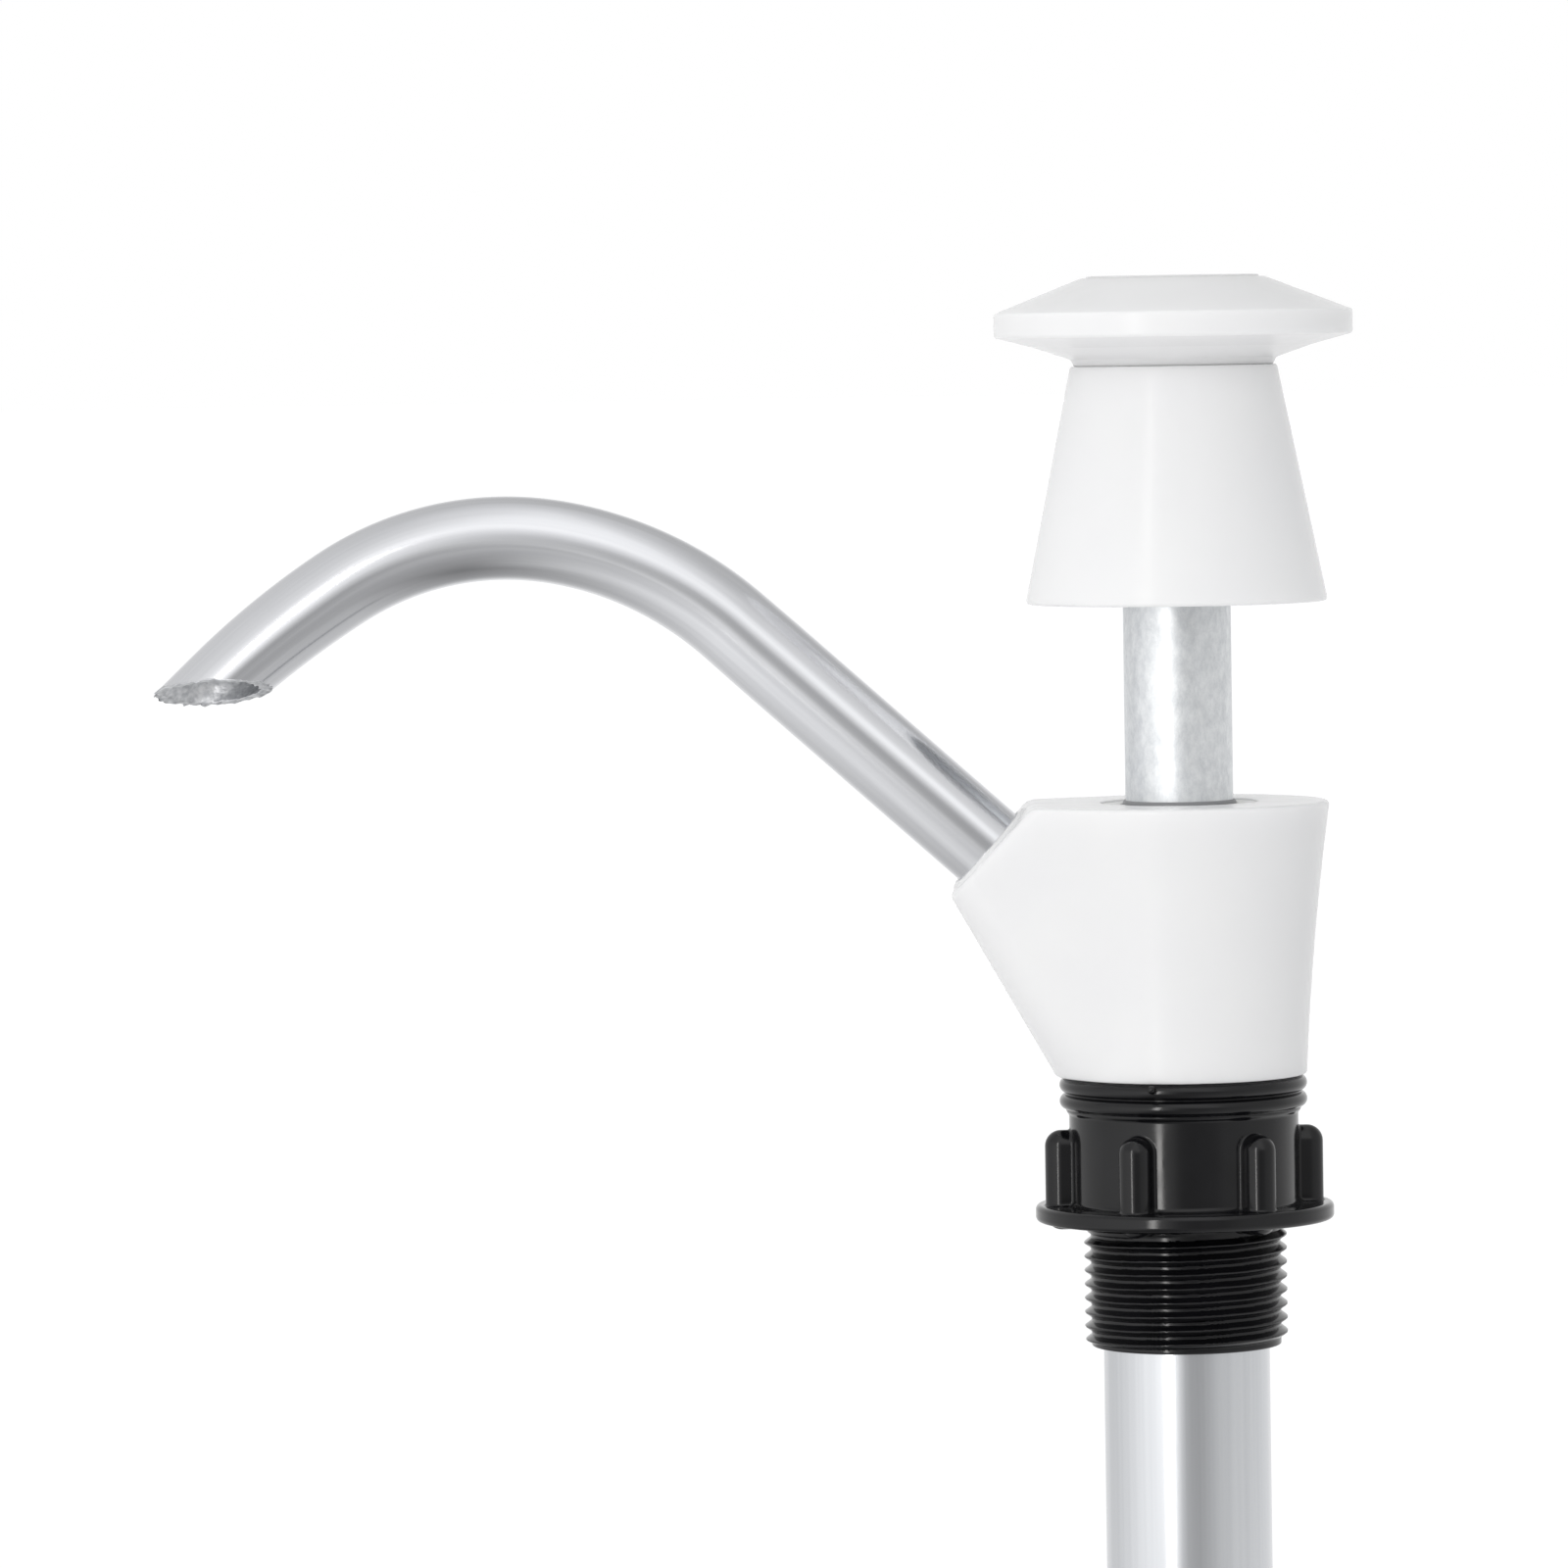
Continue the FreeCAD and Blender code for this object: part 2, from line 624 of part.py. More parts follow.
def make_spout_tube():
    """Bent aluminium tube, cut off slanting at its outlet."""
    body = new_body("spout_tube")
    spine = new_sketch(body, "spine", **spout_frame())
    start = -number("dims.spout_socket_depth")
    straight = number("dims.spout_straight")
    run = spine.addGeometry(Part.LineSegment(V(0, start, 0), V(0, straight, 0)), False)
    place(spine, run, 1, ("0", "-dims.spout_socket_depth"))
    place(spine, run, 2, ("0", "dims.spout_straight"))
    here, heading = V(0, straight, 0), math.pi / 2
    last = run
    for bend in ("one", "two", "three"):
        radius = number(f"dims.spout_bend_{bend}_radius")
        sweep = math.radians(number(f"dims.spout_bend_{bend}_angle"))
        side = V(math.cos(heading + math.pi / 2), math.sin(heading + math.pi / 2), 0)
        centre = here + side * radius
        begin = heading - math.pi / 2
        circle = Part.Circle(centre, V(0, 0, 1), radius)
        arc = spine.addGeometry(Part.ArcOfCircle(circle, begin, begin + sweep), False)
        spine.addConstraint(Sketcher.Constraint("Tangent", last, 2, arc, 1))
        hold(spine, Sketcher.Constraint("Radius", arc, radius), f"dims.spout_bend_{bend}_radius")
        hold(spine, Sketcher.Constraint("Angle", arc, sweep), f"dims.spout_bend_{bend}_angle")
        heading += sweep
        here = centre + V(math.cos(begin + sweep), math.sin(begin + sweep), 0) * radius
        last = arc
    tail_end = here + V(math.cos(heading), math.sin(heading), 0) * number("dims.spout_tail")
    tail = spine.addGeometry(Part.LineSegment(here, tail_end), False)
    spine.addConstraint(Sketcher.Constraint("Tangent", last, 2, tail, 1))
    hold(spine, Sketcher.Constraint("Distance", tail, number("dims.spout_tail")), "dims.spout_tail")

    rise = "dims.spout_rise * 1 deg"
    profile = new_sketch(
        body, "ring_profile", role="XY_Plane",
        base=(f"fits.mouth_across + dims.spout_socket_depth * cos({rise})", "0",
              f"dims.mouth_height - dims.spout_socket_depth * sin({rise})"),
        axis=V(0, -1, 0), angle="fits.spout_turn")
    for radius in ("fits.spout_r", "fits.spout_r - dims.spout_wall"):
        circle = profile.addGeometry(Part.Circle(V(0, 0, 0), V(0, 0, 1), number(radius)), False)
        profile.addConstraint(Sketcher.Constraint("Coincident", circle, 3, -1, 1))
        hold(profile, Sketcher.Constraint("Radius", circle, number(radius)), radius)
    doc.recompute()
    pipe = body.newObject("PartDesign::AdditivePipe", "bent_tube")
    pipe.Profile = profile
    pipe.Spine = spine
    doc.recompute()

    cut = new_sketch(body, "outlet_cut_sketch", role="XY_Plane",
                     base=("0", "0", "dims.outlet_height"), axis=V(-1, 0, 0),
                     angle="dims.outlet_tilt")
    tail_x = pipe.Shape.BoundBox.XMin - CUT_SPAN
    crown = number("fits.mouth_across - dims.spout_straight")
    outline(cut, [(f"{tail_x}", f"-{CUT_SPAN}"), (f"{crown}", f"-{CUT_SPAN}"),
                  (f"{crown}", f"{CUT_SPAN}"), (f"{tail_x}", f"{CUT_SPAN}")])
    trim = body.newObject("PartDesign::Pocket", "outlet_cut")
    trim.Profile = cut
    trim.Type = "ThroughAll"
    whole = pipe.Shape.Volume
    doc.recompute()
    if not 0.8 * whole < trim.Shape.Volume < whole:
        trim.Reversed = True
        doc.recompute()
    return body


def make_spout_o_ring():
    """O-ring round the spout tube, in its groove in the branch."""
    ring = rubber_ring("spout_o_ring", "fits.spout_r + dims.spout_ring_wire_dia / 2",
                       "dims.spout_ring_wire_dia", "0")
    rise = "dims.spout_rise * 1 deg"
    ring.Placement = FreeCAD.Placement(V(0, 0, 0), FreeCAD.Rotation(V(0, -1, 0), 1.0))
    ring.setExpression(".Placement.Base.x",
                       f"fits.mouth_across + dims.spout_ring_depth * cos({rise})")
    ring.setExpression(".Placement.Base.z",
                       f"dims.mouth_height - dims.spout_ring_depth * sin({rise})")
    ring.setExpression(".Placement.Rotation.Angle", "fits.spout_turn")
    return ring


def make_tube(label, outer_r, inner_r, low, high):
    """A plain drawn tube."""
    body = new_body(label)
    turned(body, "Revolution", f"{label}_turning",
           [(inner_r, low), (outer_r, low), (outer_r, high), (inner_r, high)])
    return body


def make_guide_bush():
    body = new_body("guide_bush")
    top = "fits.head_top - dims.bush_recess"
    low = "fits.gland_floor + dims.gland_seal_height"
    inner = "fits.rod_r + dims.running_gap"
    outer = "fits.gland_r - dims.press_gap"
    turned(body, "Revolution", "bush_turning", [
        (inner, low),
        (outer, low),
        (outer, top),
        (f"{inner} + dims.bush_chamfer", top),
        (inner, f"{top} - dims.bush_chamfer"),
    ])
    return body


def lip_seal(label, inner, outer, back, lips, way):
    """A ring with a groove between its two lips, which point up (way "") or down (way "-")."""
    body = new_body(label)
    turned(body, "Revolution", f"{label}_turning", [
        (inner, back),
        (outer, back),
        (outer, lips),
        (f"{outer} - dims.seal_lip", lips),
        (f"(({inner}) + ({outer})) / 2", f"{lips} - ({way}dims.seal_groove)"),
        (f"{inner} + dims.seal_lip", lips),
        (inner, lips),
    ])
    return body


def make_knob_skirt():
    """Bell under the knob, open below."""
    body = new_body("knob_skirt")
    mouth_r = "dims.skirt_mouth_dia / 2"
    neck_r = "dims.skirt_neck_dia / 2"
    roof = "fits.disc_base - dims.skirt_floor"
    slope = f"(({mouth_r} - {neck_r}) / dims.skirt_height)"
    roof_r = f"{neck_r} + dims.skirt_floor * {slope} - dims.skirt_wall"
    turned(body, "Revolution", "bell", [
        (f"{mouth_r} - dims.skirt_wall", "fits.skirt_bottom"),
        (mouth_r, "fits.skirt_bottom"),
        (neck_r, "fits.disc_base"),
        ("fits.disc_spigot_r + dims.press_gap", "fits.disc_base"),
        ("fits.disc_spigot_r + dims.press_gap", "fits.disc_base - dims.disc_spigot_length"),
        ("fits.rod_socket_r", "fits.disc_base - dims.disc_spigot_length"),
        ("fits.rod_socket_r", roof),
        (roof_r, roof),
    ])
    round_edges(body, "bell_rounding", "dims.skirt_round",
                lambda edge: ring_edge(mouth_r, "fits.skirt_bottom")(edge)
                or ring_edge(neck_r, "fits.disc_base")(edge))
    return body


def make_knob_disc():
    """Palm disc: sharp rim, coned top and undercut neck, on a spigot that enters the bell."""
    body = new_body("knob_disc")
    rim_r = "dims.disc_dia / 2"
    neck_r = "dims.disc_neck_dia / 2"
    face_r = "dims.disc_face_dia / 2"
    cap_seat_r = "fits.cap_r + dims.press_gap"
    rim_top = "fits.disc_rim_bottom + dims.disc_rim"
    turned(body, "Revolution", "disc_turning", [
        ("fits.rod_socket_r", "fits.disc_base - dims.disc_spigot_length"),
        ("fits.disc_spigot_r", "fits.disc_base - dims.disc_spigot_length"),
        ("fits.disc_spigot_r", "fits.disc_base"),
        (neck_r, "fits.disc_base"),
        (f"({neck_r} + {rim_r}) / 2",
         "fits.disc_base + dims.disc_under_rise / 2 + dims.disc_under_sag", "via"),
        (rim_r, "fits.disc_rim_bottom"),
        (rim_r, rim_top),
        (face_r, "fits.disc_top"),
        (cap_seat_r, "fits.disc_top"),
        (cap_seat_r, "fits.cap_seat_z"),
        ("fits.recess_r", "fits.cap_seat_z"),
        ("fits.recess_r", "fits.web_top"),
        ("fits.screw_hole_r", "fits.web_top"),
        ("fits.screw_hole_r", "fits.rod_top"),
        ("fits.rod_socket_r", "fits.rod_top"),
    ])
    round_edges(body, "rim_rounding", "dims.disc_round",
                lambda edge: ring_edge(rim_r, "fits.disc_rim_bottom")(edge)
                or ring_edge(rim_r, rim_top)(edge))
    return body


def make_knob_cap():
    """Thin cap that hides the screw."""
    body = new_body("knob_cap")
    top = "fits.disc_top + dims.cap_proud"
    turned(body, "Revolution", "cap_turning", [
        ("0", "fits.cap_seat_z"),
        ("fits.cap_r", "fits.cap_seat_z"),
        ("fits.cap_r", f"{top} - dims.cap_chamfer"),
        ("fits.cap_r - dims.cap_chamfer", top),
        ("0", top),
    ])
    return body


def make_knob_screw():
    """Pan-head screw with a plain shank, from the disc into the rod's plug."""
    body = new_body("knob_screw")
    head_r = "dims.screw_head_dia / 2"
    head_top = "fits.screw_seat + dims.screw_head_height"
    turned(body, "Revolution", "screw_turning", [
        ("0", "fits.screw_seat - dims.screw_length"),
        ("fits.screw_r", "fits.screw_seat - dims.screw_length"),
        ("fits.screw_r", "fits.screw_seat"),
        (head_r, "fits.screw_seat"),
        (f"{head_r} * dims.screw_bulge_share",
         "fits.screw_seat + dims.screw_head_height * dims.screw_bulge_height_share", "via"),
        (f"{head_r} * dims.screw_crown_share", head_top),
        ("0", head_top),
    ])
    return body


def make_rod_plug():
    """Slug in the top of the rod that takes the knob's screw."""
    body = new_body("rod_plug")
    outer = "fits.rod_bore_r - dims.press_gap"
    floor = "fits.screw_seat - dims.screw_length - dims.end_gap"
    turned(body, "Revolution", "plug_turning", [
        ("0", "fits.rod_top - dims.rod_plug_length"),
        (outer, "fits.rod_top - dims.rod_plug_length"),
        (outer, "fits.rod_top"),
        ("fits.screw_hole_r", "fits.rod_top"),
        ("fits.screw_hole_r", floor),
        ("0", floor),
    ])
    return body


def cross_hole(body, name):
    """Hole for the piston's pin, along Y."""
    sketch = new_sketch(body, f"{name}_sketch")
    radius = number("fits.pin_hole_r")
    hole = sketch.addGeometry(Part.Circle(V(0, number("fits.pin_z"), 0), V(0, 0, 1), radius), False)
    place(sketch, hole, 3, ("0", "fits.pin_z"))
    hold(sketch, Sketcher.Constraint("Radius", hole, radius), "fits.pin_hole_r")
    extruded(body, "Pocket", name, sketch, "0", through=True)


def make_plunger_tube():
    body = make_tube("plunger_tube", "fits.rod_r", "fits.rod_bore_r",
                     "fits.rod_bottom", "fits.rod_top")
    cross_hole(body, "rod_pin_hole")
    return body


def make_piston_pin():
    pin = doc.addObject("Part::Cylinder", "piston_pin")
    pin.Label = "piston_pin"
    pin.setExpression("Radius", "dims.pin_dia / 2")
    pin.setExpression("Height", "dims.rod_outer_dia - dims.pin_end_gap * 2")
    pin.Placement = FreeCAD.Placement(V(0, 0, 0), FreeCAD.Rotation(V(1, 0, 0), 90))
    pin.setExpression(".Placement.Base.y", "fits.rod_r - dims.pin_end_gap")
    pin.setExpression(".Placement.Base.z", "fits.pin_z")
    pieces.append(pin)
    return pin


def make_piston_body():
    """Spigot in the rod, a ported ball chamber between guide fins, and the seal's hub."""
    body = new_body("piston_body")
    spigot_r = "fits.rod_bore_r - dims.press_gap"
    turned(body, "Revolution", "piston_turning", [
        ("0", "fits.piston_ceiling"),
        ("fits.piston_chamber_r", "fits.piston_ceiling"),
        ("fits.piston_chamber_r", "fits.piston_cap_top"),
        ("fits.piston_hub_r", "fits.piston_cap_top"),
        ("fits.piston_hub_r", "fits.piston_seal_top"),
        ("fits.piston_r", "fits.piston_seal_top"),
        ("fits.piston_r", "fits.piston_flange_top"),
        ("fits.rod_r", "fits.piston_flange_top"),
        ("fits.rod_r", "fits.rod_bottom"),
        (spigot_r, "fits.rod_bottom"),
        (spigot_r, "fits.rod_bottom + dims.piston_spigot"),
        ("0", "fits.rod_bottom + dims.piston_spigot"),
    ])
    fin_sketch = new_sketch(body, "fin_sketch")
    inner = "(fits.rod_r + fits.piston_chamber_r) / 2"
    outline(fin_sketch, [
        (inner, "fits.piston_flange_top - dims.piston_flange / 2"),
        ("fits.piston_r", "fits.piston_flange_top - dims.piston_flange / 2"),
        ("fits.piston_r", "fits.rod_bottom"),
        (inner, "fits.rod_bottom"),
    ])
    fin = extruded(body, "Pad", "fin", fin_sketch, "dims.fin_thickness")
    around(body, "fins", fin, "dims.fin_count")
    for index in range(2):
        turn = f"180 / dims.fin_count + 90 * {index}"
        port_sketch = new_sketch(body, f"port_sketch_{index}", axis=V(0, 1, 0), angle=turn)
        top = "fits.rod_bottom - dims.port_drop"
        outline(port_sketch, [
            ("-dims.port_width / 2", f"{top} - dims.port_height"),
            ("dims.port_width / 2", f"{top} - dims.port_height"),
            ("dims.port_width / 2", top),
            ("-dims.port_width / 2", top),
        ])
        extruded(body, "Pocket", f"port_{index}", port_sketch, "0", through=True)
    cross_hole(body, "piston_pin_hole")
    return body


def make_piston_end_cap():
    """Screwed cap that holds the seal and carries the ball's seat."""
    body = new_body("piston_end_cap")
    stem_r = "fits.piston_chamber_r - dims.press_gap"
    lip_r = "fits.piston_ball_r"
    bottom = "fits.piston_cap_top - dims.piston_cap_thickness"
    turned(body, "Revolution", "end_cap_turning", [
        ("dims.piston_bore_dia / 2", bottom),
        ("fits.piston_r", bottom),
        ("fits.piston_r", "fits.piston_cap_top"),
        (stem_r, "fits.piston_cap_top"),
        (stem_r, f"fits.piston_cone_z + {lip_r}"),
        (lip_r, f"fits.piston_cone_z + {lip_r}"),
        ("dims.piston_bore_dia / 2", "fits.piston_cone_z + dims.piston_bore_dia / 2"),
    ])
    return body


def make_foot_valve_body():
    """Plug in the cylinder's lower end with a ball seat, ending in a barbed hose tail."""
    body = new_body("foot_valve_body")
    ring_floor = "fits.cylinder_bore_r - dims.foot_ring_wire_dia - dims.ring_slot_gap"
    points = [("fits.tail_neck_r", "fits.shoulder_bottom"),
              ("fits.cylinder_outer_r", "fits.shoulder_bottom"),
              ("fits.cylinder_outer_r", "fits.cylinder_bottom"),
              ("fits.plug_r", "fits.cylinder_bottom")]
    points += slot_corners("fits.plug_r", ring_floor, "fits.foot_ring_z",
                           "dims.foot_ring_wire_dia / 2 + dims.ring_slot_gap")
    tip = "fits.barbs_top - dims.tail_barb_pitch * dims.tail_barb_count"
    points += [
        ("fits.plug_r", "fits.plug_top"),
        ("fits.cage_r + dims.press_gap", "fits.plug_top"),
        ("fits.cage_r + dims.press_gap", "fits.cage_bottom"),
        ("fits.foot_chamber_r", "fits.cage_bottom"),
        ("fits.foot_chamber_r", "fits.foot_cone_z + fits.foot_chamber_r"),
        ("fits.tail_bore_r", "fits.foot_cone_z + fits.tail_bore_r"),
        ("fits.tail_bore_r", tip),
    ]
    for index in reversed(range(int(number("dims.tail_barb_count")))):
        top = f"fits.barbs_top - dims.tail_barb_pitch * {index}"
        points.append(("fits.tail_neck_r", f"{top} - dims.tail_barb_pitch"))
        points.append(("fits.tail_land_r", f"{top} - dims.tail_barb_land"))
        points.append(("fits.tail_land_r", top))
    points.append(("fits.tail_neck_r", "fits.barbs_top"))
    turned(body, "Revolution", "foot_turning", points)
    return body


def make_foot_ball_cage():
    """Perforated disc pressed into the plug above the ball."""
    body = new_body("foot_ball_cage")
    turned(body, "Revolution", "cage_turning", [
        ("0", "fits.cage_bottom"),
        ("fits.cage_r", "fits.cage_bottom"),
        ("fits.cage_r", "fits.plug_top"),
        ("0", "fits.plug_top"),
    ])
    sketch = new_sketch(body, "cage_hole_sketch", role="XY_Plane",
                        base=("0", "0", "fits.cage_bottom"))
    circle_r, hole_r = "fits.cage_r - dims.cage_hole_inset", "dims.cage_hole_dia / 2"
    centre = V(number(circle_r), 0, 0)
    hole = sketch.addGeometry(Part.Circle(centre, V(0, 0, 1), number(hole_r)), False)
    place(sketch, hole, 3, (circle_r, "0"))
    hold(sketch, Sketcher.Constraint("Radius", hole, number(hole_r)), hole_r)
    drilled = extruded(body, "Pocket", "cage_hole", sketch, "0", through=True)
    around(body, "cage_holes", drilled, "dims.cage_hole_count")
    return body


def check_and_export():
    """Stop on any failed object, then write one STEP file per piece."""
    doc.recompute()
    for item in doc.Objects:
        if "Invalid" in item.State or "Error" in item.State:
            raise RuntimeError(f"{item.Name} failed: {item.State}")
    for piece in pieces:
        shape = piece.Shape
        if shape.isNull() or not shape.isValid() or len(shape.Solids) != 1:
            raise RuntimeError(f"{piece.Label} is not one valid solid")
    os.makedirs("parts", exist_ok=True)
    for piece in pieces:
        piece.Shape.exportStep(f"parts/{piece.Label}.step")
        box = piece.Shape.BoundBox
        print(f"{piece.Label:18s} volume {piece.Shape.Volume:9.1f} mm3"
              f"  x {box.XMin:7.2f} {box.XMax:6.2f}  z {box.ZMin:8.2f} {box.ZMax:7.2f}")


make_threaded_collar()
make_snap_ring()
rubber_ring("swivel_o_ring",
            "fits.spigot_bore_r - dims.running_gap - dims.swivel_ring_wire_dia / 2",
            "dims.swivel_ring_wire_dia", "dims.swivel_ring_height")
make_pump_head()
make_spout_tube()
make_spout_o_ring()
make_guide_bush()
lip_seal("gland_seal", "fits.rod_r + dims.running_gap", "fits.gland_r - dims.press_gap",
         "fits.gland_floor + dims.gland_seal_height", "fits.gland_floor", "-")
make_tube("cylinder_tube", "fits.cylinder_outer_r", "fits.cylinder_bore_r",
          "fits.cylinder_bottom", "dims.socket_top")
rubber_ring("cylinder_o_ring", "fits.cylinder_outer_r + dims.cylinder_ring_wire_dia / 2",
            "dims.cylinder_ring_wire_dia", "dims.socket_top - dims.cylinder_ring_drop")
make_foot_valve_body()
rubber_ring("foot_o_ring", "fits.cylinder_bore_r - dims.foot_ring_wire_dia / 2",
            "dims.foot_ring_wire_dia", "fits.foot_ring_z")
ball("foot_ball", "dims.foot_ball_dia", "fits.foot_ball_z")
make_foot_ball_cage()
make_knob_skirt()
make_knob_disc()
make_knob_cap()
make_knob_screw()
make_tube("knob_washer", "dims.washer_dia / 2", "fits.screw_hole_r",
          "fits.web_top", "fits.screw_seat")
make_rod_plug()
make_plunger_tube()
make_piston_pin()
make_piston_body()
lip_seal("piston_cup_seal", "fits.piston_hub_r + dims.press_gap",
         "fits.cylinder_bore_r - dims.running_gap", "fits.piston_cap_top",
         "fits.piston_seal_top", "")
make_piston_end_cap()
ball("piston_ball", "dims.piston_ball_dia", "fits.piston_ball_z")
check_and_export()
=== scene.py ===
"""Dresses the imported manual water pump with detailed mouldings, tubes, finishes, light and a camera.

Lengths of the pieces are millimetres in the CAD's frame, and become metres when a mesh is made.
The stage, the lamp and the camera are in metres. Mouldings come from signed distance fields,
turned parts from rounded profiles, and the spout from a sweep along its own centre line.
"""
import json
import math

import bpy
import numpy as np
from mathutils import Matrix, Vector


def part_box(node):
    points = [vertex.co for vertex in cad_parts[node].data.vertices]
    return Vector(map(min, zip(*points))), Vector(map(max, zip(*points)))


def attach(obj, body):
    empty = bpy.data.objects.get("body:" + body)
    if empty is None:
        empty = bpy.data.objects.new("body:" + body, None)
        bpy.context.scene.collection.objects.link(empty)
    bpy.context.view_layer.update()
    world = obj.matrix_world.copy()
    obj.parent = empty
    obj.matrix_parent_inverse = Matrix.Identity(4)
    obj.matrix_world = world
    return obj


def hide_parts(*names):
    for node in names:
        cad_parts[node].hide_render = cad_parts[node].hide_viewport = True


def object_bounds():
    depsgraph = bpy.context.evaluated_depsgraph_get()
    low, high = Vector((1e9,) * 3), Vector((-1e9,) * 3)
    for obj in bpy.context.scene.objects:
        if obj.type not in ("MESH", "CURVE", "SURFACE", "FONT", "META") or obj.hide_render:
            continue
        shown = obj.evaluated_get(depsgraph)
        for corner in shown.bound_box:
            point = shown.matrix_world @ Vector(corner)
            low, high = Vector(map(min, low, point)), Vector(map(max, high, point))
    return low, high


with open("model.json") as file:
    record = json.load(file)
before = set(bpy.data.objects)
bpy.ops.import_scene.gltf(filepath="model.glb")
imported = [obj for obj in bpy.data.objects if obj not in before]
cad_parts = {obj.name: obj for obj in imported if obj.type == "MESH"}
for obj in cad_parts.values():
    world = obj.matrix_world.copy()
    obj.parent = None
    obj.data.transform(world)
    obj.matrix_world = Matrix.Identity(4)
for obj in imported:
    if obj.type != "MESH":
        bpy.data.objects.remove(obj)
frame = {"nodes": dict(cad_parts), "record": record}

import openvdb
from mathutils import Matrix, Vector

MM = 0.001
cad_box = [list(corner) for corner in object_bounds()]


def node_heights(node):
    """Heights of the lowest and highest point of a CAD node, in millimetres."""
    low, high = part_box(node)
    return low[2] / MM, high[2] / MM


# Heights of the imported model, so that each piece sits where its node is.
COLLAR_BASE, COLLAR_TOP = node_heights("threaded_collar")
HEAD_TOP = node_heights("pump_head")[1]
SKIRT_BASE = node_heights("knob_skirt")[0]
DISC_BASE = node_heights("knob_disc")[0]
CAP_BASE, CAP_TOP = node_heights("knob_cap")
TAIL_TIP, PLUG_TOP = node_heights("foot_valve_body")
TUBE_BASE = node_heights("cylinder_tube")[0]
BUSH_TOP = node_heights("guide_bush")[1]


def make_object(name, points, faces, body, nodes, normals=None):
    """A mesh object from points in mm, on its body, in the place of the named nodes."""
    mesh = bpy.data.meshes.new(name)
    sizes = np.array([len(face) for face in faces])
    mesh.vertices.add(len(points))
    mesh.vertices.foreach_set("co", (np.asarray(points, float) * MM).ravel())
    mesh.loops.add(int(sizes.sum()))
    mesh.loops.foreach_set("vertex_index", np.concatenate(faces))
    mesh.polygons.add(len(faces))
    mesh.polygons.foreach_set("loop_start", np.cumsum(sizes) - sizes)
    mesh.update(calc_edges=True)
    mesh.validate()
    mesh.shade_smooth()
    if normals is not None:
        mesh.normals_split_custom_set_from_vertices(np.asarray(normals, float))
    piece = bpy.data.objects.new(name, mesh)
    bpy.context.scene.collection.objects.link(piece)
    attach(piece, body)
    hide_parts(*nodes)
    return piece


# Signed distance fields

# How far a cut runs past the face it opens, and the value of a field far outside.
PAST = 5.0
OUTSIDE = 5.0
# How a mesh's points are drawn onto the surface. The reach and the move are shares of a grid step.
DRAW_ROUNDS = 3
SLOPE_REACH = 0.15
LONGEST_MOVE = 0.4
LEAST_STEEPNESS = 0.25


def clamp(value, low, high):
    return np.minimum(np.maximum(value, low), high)


def join_round(a, b, fillet):
    """Union of two fields with a fillet."""
    inside = np.sqrt(np.maximum(fillet - a, 0) ** 2 + np.maximum(fillet - b, 0) ** 2)
    return np.maximum(fillet, np.minimum(a, b)) - inside


def cut_round(a, b, fillet):
    """Part of a that lies in b as well, with a rounded edge."""
    outside = np.sqrt(np.maximum(fillet + a, 0) ** 2 + np.maximum(fillet + b, 0) ** 2)
    return np.minimum(-fillet, np.maximum(a, b)) + outside


def between(value, low, high):
    """Field of the slab in which a value lies between two ends."""
    return np.abs(value - (low + high) / 2) - (high - low) / 2


def drum(radial, radius, along, low, high, fillet):
    """A round solid between two places along its axis, with rounded edges."""
    return cut_round(radial - radius, between(along, low, high), fillet)


def bore(solid, radial, radius, along, low, high, fillet):
    """Take a round hole between two places along its axis out of a solid."""
    return cut_round(solid, -drum(radial, radius, along, low, high, fillet), fillet)


def meshed(field, low, high, step):
    """Points, quads and normals of a field's zero surface."""
    axes = [np.arange(a - 2 * step, b + 3 * step, step) for a, b in zip(low, high)]
    x, y, z = np.meshgrid(*axes, indexing="ij", sparse=True)
    band = 3 * step
    values = np.ascontiguousarray(clamp(field(x, y, z), -band, band), dtype=np.float32)
    grid = openvdb.FloatGrid(band)
    grid.copyFromArray(values)
    points, quads = grid.convertToQuads(0.0)
    points = points.astype(float) * step + np.array([axis[0] for axis in axes])
    reach = step * SLOPE_REACH
    longest = LONGEST_MOVE * step
    for _ in range(DRAW_ROUNDS):
        value = field(*points.T)
        slopes = np.empty_like(points)
        for axis in range(3):
            shift = np.zeros(3)
            shift[axis] = reach
            ahead, behind = field(*(points + shift).T), field(*(points - shift).T)
            slopes[:, axis] = (ahead - behind) / (2 * reach)
        steep = np.maximum((slopes ** 2).sum(1), LEAST_STEEPNESS)
        move = clamp(value / steep, -longest, longest)
        points = points - move[:, None] * slopes
    normals = slopes / np.sqrt(np.maximum((slopes ** 2).sum(1), 1e-9))[:, None]
    a, b, c = (points[quads[:, i]] for i in range(3))
    facing = (np.cross(b - a, c - a) * normals[quads[:, 0]]).sum()
    if facing < 0:
        quads = quads[:, ::-1]
    return points, quads, normals


# Threaded collar

COLLAR_R = 14.9
COLLAR_BORE_R = 12.9
COLLAR_FLOOR = 2.4
FLANGE_R = 19.4
FLANGE_TOP = 2.2
RIM_R = 15.25
RIM_BASE = 14.2
RIDGE_CREST_R = 16.1
RIDGE_R = 1.0
RIDGE_HEIGHTS = (15.65, 17.75)
LUG_ANGLE = math.radians(-107)
LUG_CENTRE_R = 16.3
LUG_DROP = 0.55
LUG_R = 0.52
RIB_COUNT = 6
RIB_ANGLE = math.radians(-115.6)
RIB_R = 2.1
RIB_CENTRE_R = 16.1
RIB_TOP = 9.9
SNAP_RING_HEIGHT = 6.0
SNAP_SLOT_R = 0.85

